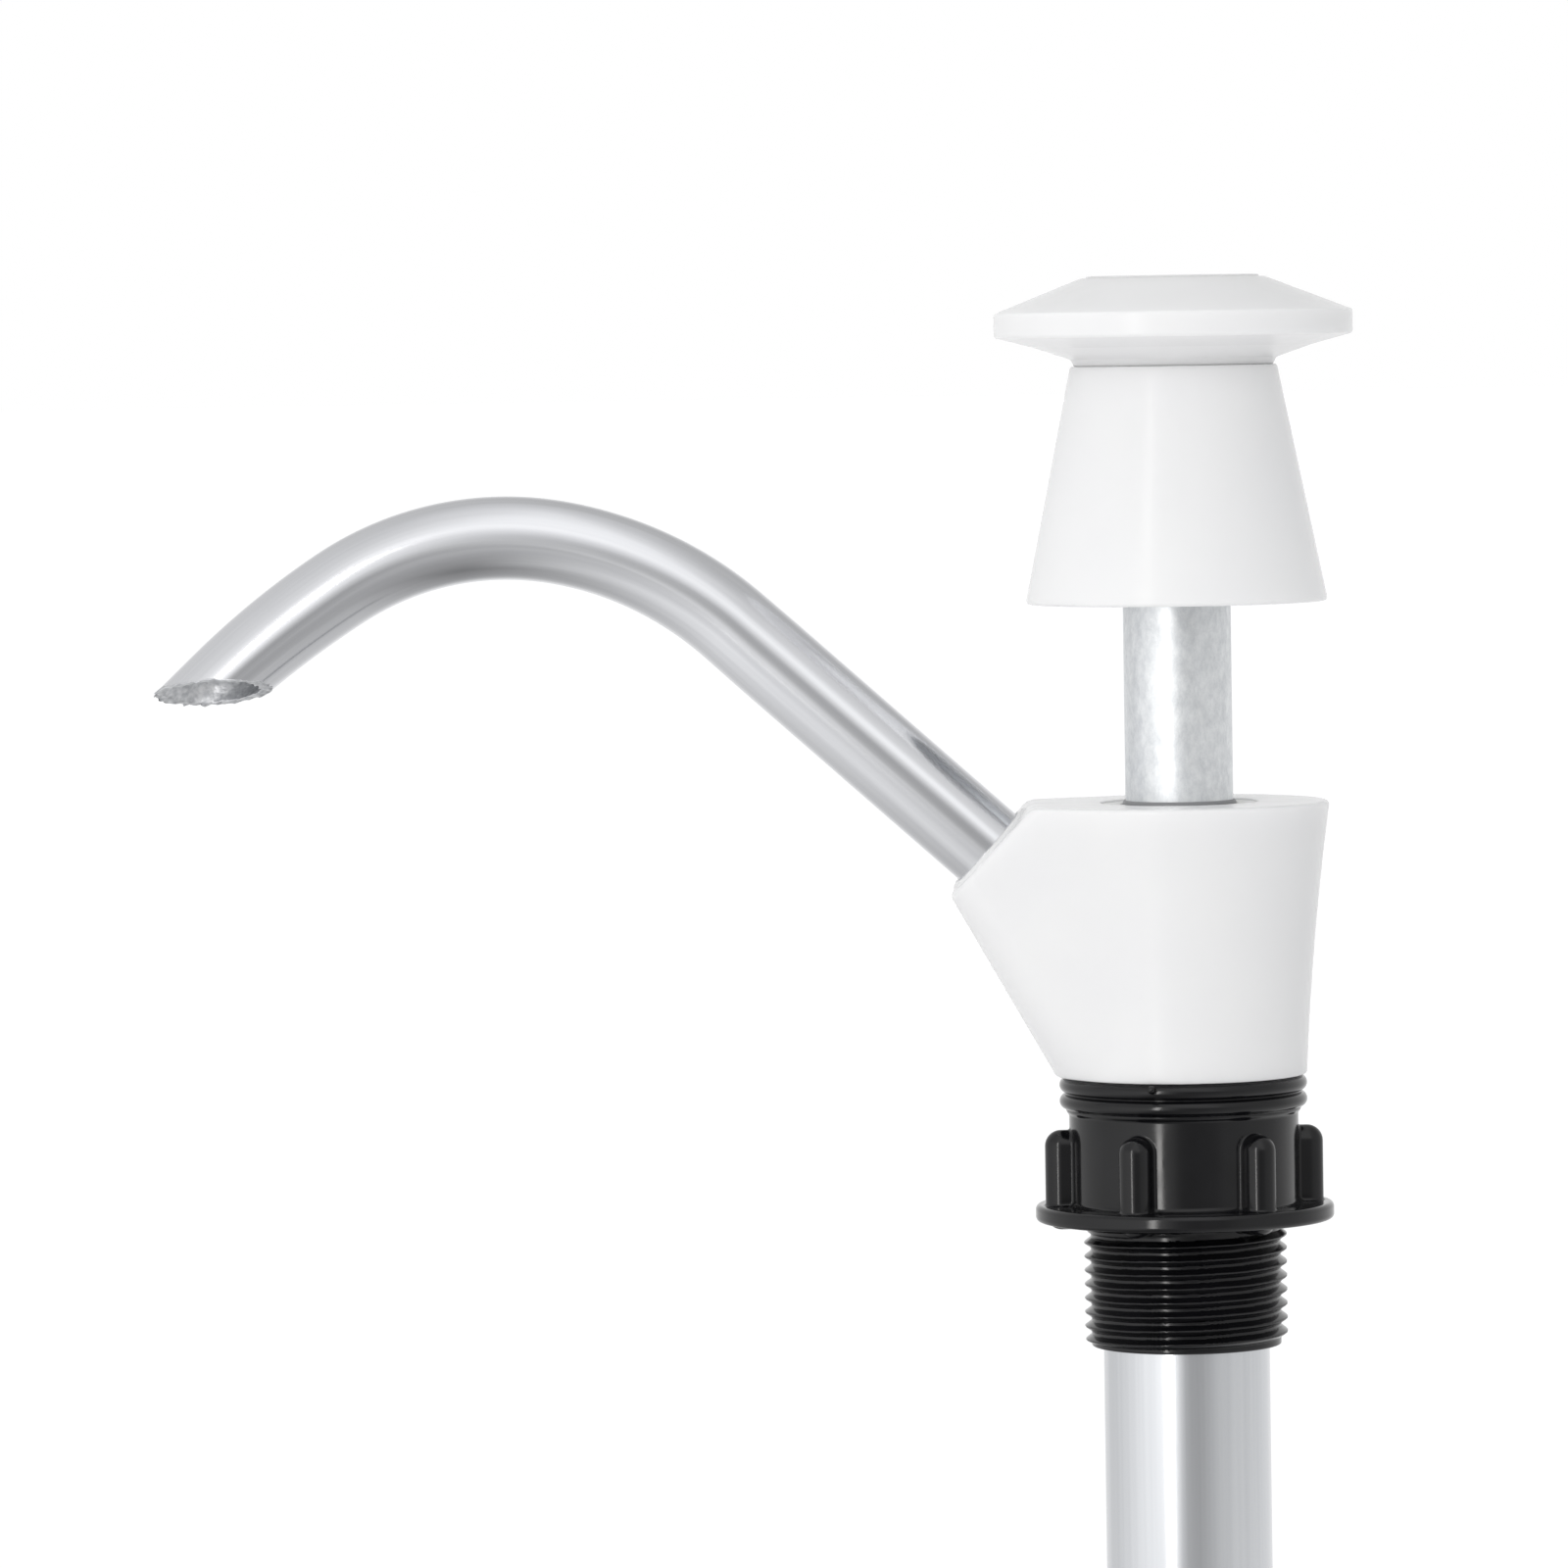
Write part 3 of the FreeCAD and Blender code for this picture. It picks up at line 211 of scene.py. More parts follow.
# The shank ends a little below its node, and its thread fades in and out near both ends. The ease
# scales a field so that its slope stays near 1.
SHANK_BASE = COLLAR_BASE - 0.5
SHANK_BORE_R = 11.0
THREAD_CREST_R = 13.2
THREAD_ROOT_R = 12.35
THREAD_PITCH = 1.814
THREAD_PHASE = -2.85
THREAD_LEAD = 0.1
THREAD_FADE_IN = 1.1
THREAD_TOP = -0.55
THREAD_FADE_OUT = 0.9
CREST_HALF_WIDTH = 0.09
FLANK_SLOPE = 1.35
THREAD_EASE = 0.6

COLLAR_STEP = 0.2
COLLAR_BOX = ((-19.6, -19.6, SHANK_BASE), (19.6, 19.6, COLLAR_TOP + 0.4))


def helix_offset(angle, z, start, pitch, first_angle):
    """Distance along Z to the nearest turn of a right-hand helix."""
    turn = (angle - first_angle) / (2 * np.pi)
    turn = turn - np.floor(turn)
    count = np.round((z - start) / pitch - turn)
    return z - start - (count + turn) * pitch


def collar_field(x, y, z):
    radius = np.sqrt(x ** 2 + y ** 2)
    angle = np.arctan2(y, x)

    body = drum(radius, COLLAR_R, z, 0, COLLAR_TOP, fillet=0.15)
    rim = drum(radius, RIM_R, z, RIM_BASE, COLLAR_TOP, fillet=0.3)
    solid = join_round(body, rim, fillet=0.5)
    for height in RIDGE_HEIGHTS:
        ridge = np.sqrt((radius - RIDGE_CREST_R + RIDGE_R) ** 2 + (z - height) ** 2) - RIDGE_R
        solid = join_round(solid, ridge, fillet=0.12)

    lug = np.sqrt((radius - LUG_CENTRE_R) ** 2 + (radius * np.sin(angle - LUG_ANGLE)) ** 2
                  + (z - COLLAR_TOP + LUG_DROP) ** 2) - LUG_R
    lug = np.where(np.cos(angle - LUG_ANGLE) > 0, lug, OUTSIDE)
    solid = join_round(solid, lug, fillet=0.2)

    flange = drum(radius, FLANGE_R, z, 0, FLANGE_TOP, fillet=0.65)
    solid = join_round(solid, flange, fillet=0.7)

    sector = 2 * np.pi / RIB_COUNT
    local = np.mod(angle - RIB_ANGLE + sector / 2, sector) - sector / 2
    along, across = radius * np.cos(local), radius * np.sin(local)
    up = z - clamp(z, FLANGE_TOP / 2, RIB_TOP)
    rib = np.sqrt(np.maximum(along - RIB_CENTRE_R, 0) ** 2 + across ** 2 + up ** 2) - RIB_R
    solid = join_round(solid, rib, fillet=0.35)

    off = helix_offset(angle, z, THREAD_PHASE, THREAD_PITCH, np.pi)
    fade_in = clamp((z - SHANK_BASE + THREAD_LEAD) / THREAD_FADE_IN, 0, 1)
    fade_out = clamp((THREAD_TOP - z) / THREAD_FADE_OUT, 0, 1)
    depth = (THREAD_CREST_R - THREAD_ROOT_R) * (fade_in * fade_out)
    flank = np.maximum(np.abs(off) - CREST_HALF_WIDTH, 0) * FLANK_SLOPE
    thread = (radius - THREAD_ROOT_R - np.maximum(depth - flank, 0)) * THREAD_EASE
    shank = cut_round(thread, between(z, SHANK_BASE, 0), fillet=0.25)
    solid = join_round(solid, shank, fillet=0.12)

    solid = bore(solid, radius, SHANK_BORE_R, z, SHANK_BASE - PAST, COLLAR_FLOOR + PAST, fillet=0.2)
    solid = bore(solid, radius, COLLAR_BORE_R, z, COLLAR_FLOOR, COLLAR_TOP + PAST, fillet=0.2)
    slot = np.sqrt((radius - COLLAR_BORE_R) ** 2 + (z - SNAP_RING_HEIGHT) ** 2) - SNAP_SLOT_R
    return cut_round(solid, -slot, fillet=0.05)


# Pump head

HEAD_BASE = 18.9
HEAD_RISE = 35.5
CUP_BASE_R = 16.1
CUP_FLARE = 3.4
NOSE_BASE_R = 14.1
NOSE_TAPER = 8.6
NOSE_BASE_REACH = 16.5
NOSE_SLANT = math.radians(60.5)
HIGHEST_SHARE = 1.1
OUTLINE_EASE = 0.95

SPOUT_RISE = math.radians(42)
MOUTH = np.array([-25.0, 0.0, 48.9])
SPOUT_WAY = np.array([-math.cos(SPOUT_RISE), 0.0, math.sin(SPOUT_RISE)])
MOUTH_SETBACK = 0.45
BOSS_R = 6.9
BOSS_DEPTH = 3.6

SPIGOT_R = 12.8
SPIGOT_BASE = 2.5
SPIGOT_ROOT = 20.5
GROOVE_HALF_WIDTH = 0.95
# Height and floor radius of the snap ring's groove and the swivel ring's.
SPIGOT_GROOVES = ((SNAP_RING_HEIGHT, 12.1), (12.4, 11.1))

# Radius, ends and fillet of each bore along the pump's axis: the cylinder's socket, the chamber,
# the rod's hole, and the seat of the gland and the bush.
AXIS_BORES = (
    (10.82, -5.0, 25.0, 0.15),
    (9.0, 20.0, 43.5, 0.15),
    (7.3, 40.0, 50.0, 0.15),
    (10.0, 45.0, 60.0, 0.35),
)
# The same along the branch's axis: the spout's socket and the passage behind it.
BRANCH_BORES = (
    (5.8, -12.0, PAST, 0.25),
    (4.6, -26.0, PAST, 0.15),
)

HEAD_STEP = 0.3
HEAD_BOX = ((-34.0, -19.8, SPIGOT_BASE), (19.8, 19.8, 54.5))


def head_outline(x, y, z):
    """A cup joined to a narrower nose on its -X side, both of which change with height."""
    share = clamp((z - HEAD_BASE) / HEAD_RISE, 0, HIGHEST_SHARE)
    cup_r = CUP_BASE_R + CUP_FLARE * (share + share ** 2) / 2
    nose_r = NOSE_BASE_R - NOSE_TAPER * share
    tip = NOSE_BASE_REACH + HEAD_RISE * share / math.tan(NOSE_SLANT)
    gap = tip - nose_r
    lean = (cup_r - nose_r) / gap
    flat = np.sqrt(1 - lean ** 2)
    side, back = np.abs(y), -x
    run = -lean * side + flat * back
    cup = np.sqrt(side ** 2 + back ** 2) - cup_r
    nose = np.sqrt(side ** 2 + (back - gap) ** 2) - nose_r
    web = side * flat + back * lean - cup_r
    return np.where(run < 0, cup, np.where(run > flat * gap, nose, web)) * OUTLINE_EASE


def head_field(x, y, z):
    mouth_x, mouth_z = x - MOUTH[0], z - MOUTH[2]
    along = mouth_x * SPOUT_WAY[0] + mouth_z * SPOUT_WAY[2]
    across = np.sqrt((mouth_x * SPOUT_WAY[2] - mouth_z * SPOUT_WAY[0]) ** 2 + y ** 2)
    solid = cut_round(head_outline(x, y, z), z - HEAD_TOP, fillet=0.6)
    solid = cut_round(solid, HEAD_BASE - z, fillet=0.35)
    solid = cut_round(solid, along + MOUTH_SETBACK, fillet=0.7)
    boss = drum(across, BOSS_R, along, -BOSS_DEPTH, 0, fillet=0.3)
    solid = join_round(solid, boss, fillet=0.35)

    radius = np.sqrt(x ** 2 + y ** 2)
    spigot = drum(radius, SPIGOT_R, z, SPIGOT_BASE, SPIGOT_ROOT, fillet=0.3)
    for height, floor_r in SPIGOT_GROOVES:
        groove = np.maximum(np.abs(z - height) - GROOVE_HALF_WIDTH, floor_r - radius)
        spigot = cut_round(spigot, -groove, fillet=0.08)
    solid = join_round(solid, spigot, fillet=0.1)

    for bore_r, low, high, fillet in AXIS_BORES:
        solid = bore(solid, radius, bore_r, z, low, high, fillet)
    for bore_r, low, high, fillet in BRANCH_BORES:
        solid = bore(solid, across, bore_r, along, low, high, fillet)
    return solid


# Turned pieces

LEAST_FILLET = 0.03
SIDE_SHARE = 0.48
FILLET_STEP_DEGREES = 9
ON_AXIS = 1e-6


def rounded(corners, closed=True):
    """Corners (radius, height, fillet), counter-clockwise, as points and outward normals."""
    points, normals = [], []
    count = len(corners)
    for index, (r, z, fillet) in enumerate(corners):
        here = Vector((r, z))
        if not closed and index in (0, count - 1):
            near = Vector(corners[1 if index == 0 else count - 2][:2])
            way = (near - here) if index == 0 else (here - near)
            points.append(here)
            normals.append(Vector((way.y, -way.x)).normalized())
            continue
        before = Vector(corners[index - 1][:2]) - here
        after = Vector(corners[(index + 1) % count][:2]) - here
        arriving, leaving = before.normalized(), after.normalized()
        bend = arriving.angle(leaving)
        fillet = max(fillet, LEAST_FILLET)
        back = min(fillet / math.tan(bend / 2), before.length * SIDE_SHARE, after.length * SIDE_SHARE)
        fillet = back * math.tan(bend / 2)
        middle = (arriving + leaving).normalized()
        centre = here + middle * (fillet / math.sin(bend / 2))
        left = arriving.cross(leaving) < 0
        start = here + arriving * back - centre
        stop = here + leaving * back - centre
        steps = max(3, int(math.degrees(math.pi - bend) / FILLET_STEP_DEGREES))
        sweep = start.angle_signed(stop)
        for step in range(steps + 1):
            turn = -sweep * step / steps
            spoke = Vector((start.x * math.cos(turn) - start.y * math.sin(turn),
                            start.x * math.sin(turn) + start.y * math.cos(turn)))
            points.append(centre + spoke)
            normals.append((spoke if left else -spoke).normalized())
    return points, normals


def turned(name, corners, body, nodes, closed=True, segments=144):
    """A piece of revolution about Z from a rounded profile."""
    profile, slopes = rounded(corners, closed)
    points, normals, faces, rows = [], [], [], []
    for point, slope in zip(profile, slopes):
        if point.x < ON_AXIS:
            rows.append([len(points)] * segments)
            points.append((0, 0, point.y))
            normals.append((0, 0, 1 if slope.y > 0 else -1))
            continue
        rows.append(list(range(len(points), len(points) + segments)))
        for index in range(segments):
            turn = 2 * math.pi * index / segments
            cosine, sine = math.cos(turn), math.sin(turn)
            points.append((point.x * cosine, point.x * sine, point.y))
            normals.append((slope.x * cosine, slope.x * sine, slope.y))
    pairs = list(zip(rows, rows[1:] + rows[:1])) if closed else list(zip(rows, rows[1:]))
    for low, high in pairs:
        for index in range(segments):
            after = (index + 1) % segments
            corner = [low[index], low[after], high[after], high[index]]
            face = [point for i, point in enumerate(corner) if point != corner[i - 1]]
            if len(face) > 2:
                faces.append(face)
    return make_object(name, points, faces, body, nodes, normals)


# Knob

KNOB_SEGMENTS = 192
KNOB_ROD_HOLE_R = 7.02
DISC_SPIGOT_R = 10.0
DISC_SPIGOT_DEPTH = 3.5
BELL_R = 19.6
BELL_LIP_R = 17.8
BELL_NECK_R = 13.4
BELL_SOCKET_R = 10.02
BELL_ROOF_DROP = 5.5
BELL_WALL = 1.8
DISC_R = 23.25
DISC_NECK_R = 12.9
NECK_FLARE_R = 13.3
NECK_FLARE_RISE = 0.9
UNDERSIDE_R = 18.0
UNDERSIDE_RISE = 2.5
UNDERSIDE_FILLET = 6.0
DISC_TOP_R = 11.9
RIM_RISE = 3.9
RIM_THICKNESS = 3.05
DISC_RISE = 11.4
CAP_R = 11.2
CAP_SEAT_R = 11.22
CAP_SEAT_DEPTH = 1.1
SCREW_HEAD_R = 5.6
SCREW_HEAD_DEPTH = 4.4
SCREW_HOLE_R = 2.52
ROD_HOLE_ROOF = 6.9


def make_knob():
    neck = DISC_BASE + DISC_SPIGOT_DEPTH
    spigot_end = neck - DISC_SPIGOT_DEPTH
    slope = (BELL_R - BELL_NECK_R) / (neck - SKIRT_BASE)
    roof = neck - BELL_ROOF_DROP
    skirt = turned("knob_skirt_shell", [
        (BELL_LIP_R, SKIRT_BASE, 0.35),
        (BELL_R, SKIRT_BASE, 0.45),
        (BELL_NECK_R, neck, 0.45),
        (BELL_SOCKET_R, neck, 0.05),
        (BELL_SOCKET_R, spigot_end, 0.05),
        (KNOB_ROD_HOLE_R, spigot_end, 0.05),
        (KNOB_ROD_HOLE_R, roof, 0.3),
        (BELL_NECK_R + BELL_ROOF_DROP * slope - BELL_WALL, roof, 1.0),
    ], "plunger", ["knob_skirt"], segments=KNOB_SEGMENTS)
    rim_low = neck + RIM_RISE
    rim_high = rim_low + RIM_THICKNESS
    top = neck + DISC_RISE
    disc = turned("knob_disc_shell", [
        (KNOB_ROD_HOLE_R, spigot_end, 0.05),
        (DISC_SPIGOT_R, spigot_end, 0.2),
        (DISC_SPIGOT_R, neck, 0.05),
        (DISC_NECK_R, neck, 0.3),
        (NECK_FLARE_R, neck + NECK_FLARE_RISE, 0.6),
        (UNDERSIDE_R, neck + UNDERSIDE_RISE, UNDERSIDE_FILLET),
        (DISC_R, rim_low, 0.5),
        (DISC_R, rim_high, 0.5),
        (DISC_TOP_R, top, 0.6),
        (CAP_SEAT_R, top, 0.1),
        (CAP_SEAT_R, top - CAP_SEAT_DEPTH, 0.05),
        (SCREW_HEAD_R, top - CAP_SEAT_DEPTH, 0.2),
        (SCREW_HEAD_R, top - SCREW_HEAD_DEPTH, 0.2),
        (SCREW_HOLE_R, top - SCREW_HEAD_DEPTH, 0.05),
        (SCREW_HOLE_R, top - ROD_HOLE_ROOF, 0.05),
        (KNOB_ROD_HOLE_R, top - ROD_HOLE_ROOF, 0.05),
    ], "plunger", ["knob_disc"], segments=KNOB_SEGMENTS)
    cap = turned("knob_cap_shell", [
        (0, CAP_BASE, 0),
        (CAP_R, CAP_BASE, 0.1),
        (CAP_R, CAP_TOP, 0.28),
        (0, CAP_TOP, 0),
    ], "plunger", ["knob_cap"], closed=False, segments=KNOB_SEGMENTS)
    return skirt, disc, cap


# Hose tail with its plug, and the grey ring at the rod's foot

TAIL_BORE_R = 3.4
TAIL_R = 5.4
BARB_R = 6.2
BARB_COUNT = 4
BARB_PITCH = 5.5
BARB_SLOPE = 4.3
PLUG_R = 9.98
PLUG_FLANGE_R = 10.8
PLUG_FLANGE = 3.0
CAGE_SEAT_R = 7.62
CAGE_SEAT_DEPTH = 2.6
BALL_ROOM_R = 5.8
BALL_ROOM_FLOOR = 28.9
BALL_SEAT_END = 26.5
RING_BORE_R = 7.06


def make_foot():
    shoulder = TUBE_BASE - PLUG_FLANGE
    corners = [(TAIL_BORE_R, TAIL_TIP, 0.3)]
    for index in range(BARB_COUNT):
        low = TAIL_TIP + BARB_PITCH * index
        corners += [(TAIL_R, low, 0.35 if index == 0 else 0.25), (BARB_R, low + BARB_SLOPE, 0.2),
                    (BARB_R, low + BARB_PITCH, 0.15)]
    corners += [
        (TAIL_R, TAIL_TIP + BARB_PITCH * BARB_COUNT, 0.2),
        (TAIL_R, shoulder, 0.6),
        (PLUG_FLANGE_R, shoulder, 0.6),
        (PLUG_FLANGE_R, TUBE_BASE, 0.15),
        (PLUG_R, TUBE_BASE, 0.05),
        (PLUG_R, PLUG_TOP, 0.3),
        (CAGE_SEAT_R, PLUG_TOP, 0.2),
        (CAGE_SEAT_R, PLUG_TOP - CAGE_SEAT_DEPTH, 0.05),
        (BALL_ROOM_R, PLUG_TOP - CAGE_SEAT_DEPTH, 0.1),
        (BALL_ROOM_R, TAIL_TIP + BALL_ROOM_FLOOR, 0.3),
        (TAIL_BORE_R, TAIL_TIP + BALL_SEAT_END, 0.3),
    ]
    return turned("hose_tail_and_plug", corners, "head", ["foot_valve_body"])


def make_grey_ring():
    """A grey ring that hugs the rod at the top of the head and darkens the rod's foot."""
    return turned("rod_foot_band_ring", [
        (RING_BORE_R, BUSH_TOP - 0.5, 0.05),
        (RING_BORE_R + 0.36, BUSH_TOP - 0.1, 0.05),
        (RING_BORE_R + 0.28, BUSH_TOP + 0.3, 0.12),
        (RING_BORE_R, BUSH_TOP + 0.6, 0.1),
    ], "head", [])


# Spout

SPOUT_SEAT = 12.0
# Straight length, bend radius and degrees turned of each run of the centre line.
SPOUT_RUNS = (
    (43.7 + SPOUT_SEAT, 0.0, 0.0),
    (0.0, 46.6, 32.0),
    (0.0, 39.0, 42.7),
    (0.0, 112.0, 10.0),
    (14.0, 0.0, 0.0),
)
SPOUT_HALF_HEIGHT = 5.64
SPOUT_HALF_WIDTH = 5.6
SPOUT_WALL = 1.0
# The tube flattens a little in its bend, and its end is pinched, more so below than above.
BEND_START, BEND_FADE = 50, 25
BEND_FLATTENING, BEND_WIDENING = 0.22, 0.12
END_START, END_FADE = 105, 35
END_PINCH_BELOW, END_PINCH_ABOVE = 0.95, 0.4

SPOUT_SIDES = 96
SPOUT_SEED = 7
STATION_STEP = 1.1
END_SHARES = (0.15, 0.3, 0.45, 0.6, 0.72, 0.82, 0.9, 0.96, 1.0)
CUT_HEIGHT = 70.6
CUT_TILT = math.radians(18)
CUT_NEAREST, CUT_FURTHEST = 100.0, 160.0
CUT_HALVINGS = 40
CUT_RAGGEDNESS = 0.16
NEIGHBOUR_SHARE = 0.6
END_MARGIN = 0.5
BURR_SPREAD = 0.05
BURR_RISE = 0.08
BURR_OVERHANG = 0.06
MIDDLE_RISE = 0.05
INNER_RISE = 0.03


def spout_line(distance):
    """Place and heading of the spout's centre line, at a distance from its end in the socket."""
    here = np.array([MOUTH[0] - SPOUT_WAY[0] * SPOUT_SEAT, MOUTH[2] - SPOUT_WAY[2] * SPOUT_SEAT])
    heading = SPOUT_RISE
    left = distance
    for straight, radius, degrees in SPOUT_RUNS:
        length = straight if radius == 0 else radius * math.radians(degrees)
        part = clamp(left, 0, length)
        if radius == 0:
            here = here + np.stack([-np.cos(heading) * part, np.sin(heading) * part], -1)
        else:
            after = heading - part / radius
            sides = [np.sin(heading) - np.sin(after), np.cos(heading) - np.cos(after)]
            here = here + np.stack([-sides[0] * radius, -sides[1] * radius], -1)
            heading = after
        left = left - part
    return here, heading


def spout_point(distance, turn, depth):
    """A point of the spout, this deep below its outer surface."""
    here, heading = spout_line(distance)
    bent = clamp((distance - BEND_START) / BEND_FADE, 0, 1)
    drawn = clamp((distance - END_START) / END_FADE, 0, 1) ** 2
    pinched = np.where(np.sin(turn) < 0, END_PINCH_BELOW, END_PINCH_ABOVE)
    half_height = SPOUT_HALF_HEIGHT - BEND_FLATTENING * bent - pinched * drawn - depth
    half_width = SPOUT_HALF_WIDTH + BEND_WIDENING * bent - depth
    rise = np.sin(turn) * half_height
    x = here[..., 0] + np.sin(heading) * rise
    z = here[..., 1] + np.cos(heading) * rise
    return np.stack([x, -np.cos(turn) * half_width, z], -1)


def cut_distance(turns, depth):
    """How far along the tube the slanting saw cut meets it, on each of its sides."""
    low, high = np.full(len(turns), CUT_NEAREST), np.full(len(turns), CUT_FURTHEST)
    for _ in range(CUT_HALVINGS):
        middle = (low + high) / 2
        point = spout_point(middle, turns, depth)
        plane = point[:, 2] - CUT_HEIGHT + math.tan(CUT_TILT) * point[:, 1]
        low, high = np.where(plane > 0, middle, low), np.where(plane > 0, high, middle)
    return low


def make_spout():
    count = SPOUT_SIDES
    turns = np.arange(count) * 2 * np.pi / count
    random = np.random.default_rng(SPOUT_SEED)
    ragged = random.normal(0, 1, count)
    ragged = (ragged + np.roll(ragged, 1) * NEIGHBOUR_SHARE) * CUT_RAGGEDNESS
    outer_end = cut_distance(turns, 0.0) + ragged
    inner_end = cut_distance(turns, SPOUT_WALL) + np.roll(ragged, 3)
    safe = min(outer_end.min(), inner_end.min()) - END_MARGIN
    stations = list(np.arange(0.0, safe, STATION_STEP)) + [safe]
    rows, sawn, runs = [], [], []

    def add_row(distances, depth, is_sawn):
        rows.append(spout_point(distances, turns, depth))
        sawn.append(is_sawn)
        runs.append(np.stack([np.cos(turns) * SPOUT_HALF_WIDTH, np.sin(turns) * SPOUT_HALF_WIDTH,
                              distances], -1))

    for station in stations:
        add_row(np.full(count, station), 0.0, False)
    for share in END_SHARES:
        add_row(safe + (outer_end - safe) * share, 0.0, False)
    # The sawn end: a burr at the outer edge, two rows across the wall, and the inner edge.
    burr = random.normal(0, BURR_SPREAD, count)
    add_row(outer_end + BURR_RISE + burr, -BURR_OVERHANG, True)
    add_row((outer_end * 2 + inner_end) / 3 + MIDDLE_RISE + burr, 0.33 * SPOUT_WALL, True)
    add_row((outer_end + inner_end * 2) / 3 + np.roll(burr, 5), 0.7 * SPOUT_WALL, True)
    add_row(inner_end + INNER_RISE, SPOUT_WALL, True)
    # The inside has the sawn finish as well.
    for share in reversed(END_SHARES[:-1]):
        add_row(safe + (inner_end - safe) * share, SPOUT_WALL, True)
    for station in reversed(stations):
        add_row(np.full(count, station), SPOUT_WALL, True)

    faces, finishes = [], []
    for row in range(len(rows)):
        following = (row + 1) % len(rows)
        for index in range(count):
            after = (index + 1) % count
            faces.append([row * count + index, following * count + index,
                          following * count + after, row * count + after])
            finishes.append(int(sawn[row] or sawn[following]))
    piece = make_object("spout", np.concatenate(rows), faces, "head",
                        ["spout_tube"])
    piece.data.polygons.foreach_set("material_index", finishes)
    run = piece.data.attributes.new("run", "FLOAT_VECTOR", "POINT")
    run.data.foreach_set("vector", (np.concatenate(runs) * MM).astype(np.float32).ravel())
    return piece


# Finishes

def srgb(*values):
    """sRGB 0 to 255 as linear colour."""
    result = []
    for value in values:
        share = value / 255
        result.append(share / 12.92 if share <= 0.04045 else ((share + 0.055) / 1.055) ** 2.4)
    return (*result, 1.0)


class Finish:
    """A Principled material with noise for its colour, gloss and relief."""

    def __init__(self, name, colour, metal, gloss, attribute=None):
        self.material = bpy.data.materials.new(name)
        self.material.use_nodes = True
        self.material.diffuse_color = colour
        self.tree = self.material.node_tree
        self.shader = self.tree.nodes["Principled BSDF"]
        self.colour = colour
        self.set_input("Base Color", colour)
        self.set_input("Metallic", metal)
        self.set_input("Roughness", gloss)
        if attribute:
            source = self.tree.nodes.new("ShaderNodeAttribute")
            source.attribute_name = attribute
            self.place = source.outputs["Vector"]
        else:
            self.place = self.tree.nodes.new("ShaderNodeTexCoord").outputs["Object"]
        self.relief = None

    def set_input(self, name, value):
        self.shader.inputs[name].default_value = value

    def link(self, start, end):
        self.tree.links.new(start, end)

    def noise(self, scale, stretch=(1, 1, 1), detail=3.0, roughness=0.5):
        """Noise over the piece; scale is features per metre."""
        mapping = self.tree.nodes.new("ShaderNodeMapping")
        mapping.inputs["Scale"].default_value = stretch
        self.link(self.place, mapping.inputs["Vector"])
        texture = self.tree.nodes.new("ShaderNodeTexNoise")
        texture.inputs["Scale"].default_value = scale
        texture.inputs["Detail"].default_value = detail
        texture.inputs["Roughness"].default_value = roughness
        self.link(mapping.outputs["Vector"], texture.inputs["Vector"])
        return texture.outputs["Fac"]

    def ranged(self, value, low, high, from_low=0.3, from_high=0.7):
        """The middle of the noise's range, spread from low to high."""
        node = self.tree.nodes.new("ShaderNodeMapRange")
        node.inputs["From Min"].default_value = from_low
        node.inputs["From Max"].default_value = from_high
        node.inputs["To Min"].default_value = low
        node.inputs["To Max"].default_value = high
        self.link(value, node.inputs["Value"])
        return node.outputs["Result"]

    def vary_gloss(self, value, low, high):
        self.link(self.ranged(value, low, high), self.shader.inputs["Roughness"])

    def vary_colour(self, value, other, low=0.0, high=1.0):
        mix = self.tree.nodes.new("ShaderNodeMix")
        mix.data_type = "RGBA"
        mix.inputs["A"].default_value = self.colour
        mix.inputs["B"].default_value = other
        self.link(self.ranged(value, low, high), mix.inputs["Factor"])
        self.link(mix.outputs["Result"], self.shader.inputs["Base Color"])

    def raise_by(self, value, height):
        """Relief of this many metres."""
        bump = self.tree.nodes.new("ShaderNodeBump")
        bump.inputs["Distance"].default_value = height
        bump.inputs["Strength"].default_value = 1.0
        self.link(value, bump.inputs["Height"])
        if self.relief is not None:
            self.link(self.relief, bump.inputs["Normal"])
        self.relief = bump.outputs["Normal"]
        self.link(self.relief, self.shader.inputs["Normal"])


def white_plastic():
    finish = Finish("white_plastic", srgb(243, 243, 243), metal=0.0, gloss=0.2)
    finish.set_input("IOR", 1.49)
    finish.set_input("Specular IOR Level", 0.2)
    finish.set_input("Subsurface Weight", 1.0)
    finish.set_input("Subsurface Radius", (1.0, 1.0, 1.0))
    finish.set_input("Subsurface Scale", 0.002)
    finish.vary_gloss(finish.noise(140, detail=4), 0.2, 0.265)
    finish.vary_colour(finish.noise(60, detail=2), srgb(240, 240, 241), high=0.8)
    finish.raise_by(finish.noise(260, (1, 1, 0.09), detail=3), 0.000022)
    finish.raise_by(finish.noise(1500, detail=2), 0.000001)
    return finish.material


def black_plastic():
    finish = Finish("black_plastic", srgb(7, 7, 9), metal=0.0, gloss=0.12)
    finish.set_input("Specular IOR Level", 0.42)
    finish.vary_gloss(finish.noise(260, detail=5), 0.1, 0.18)
    finish.vary_colour(finish.noise(180, detail=4), srgb(15, 15, 18))
    finish.raise_by(finish.noise(150, detail=2), 0.00002)
    finish.raise_by(finish.noise(1800, detail=2), 0.000002)
    return finish.material


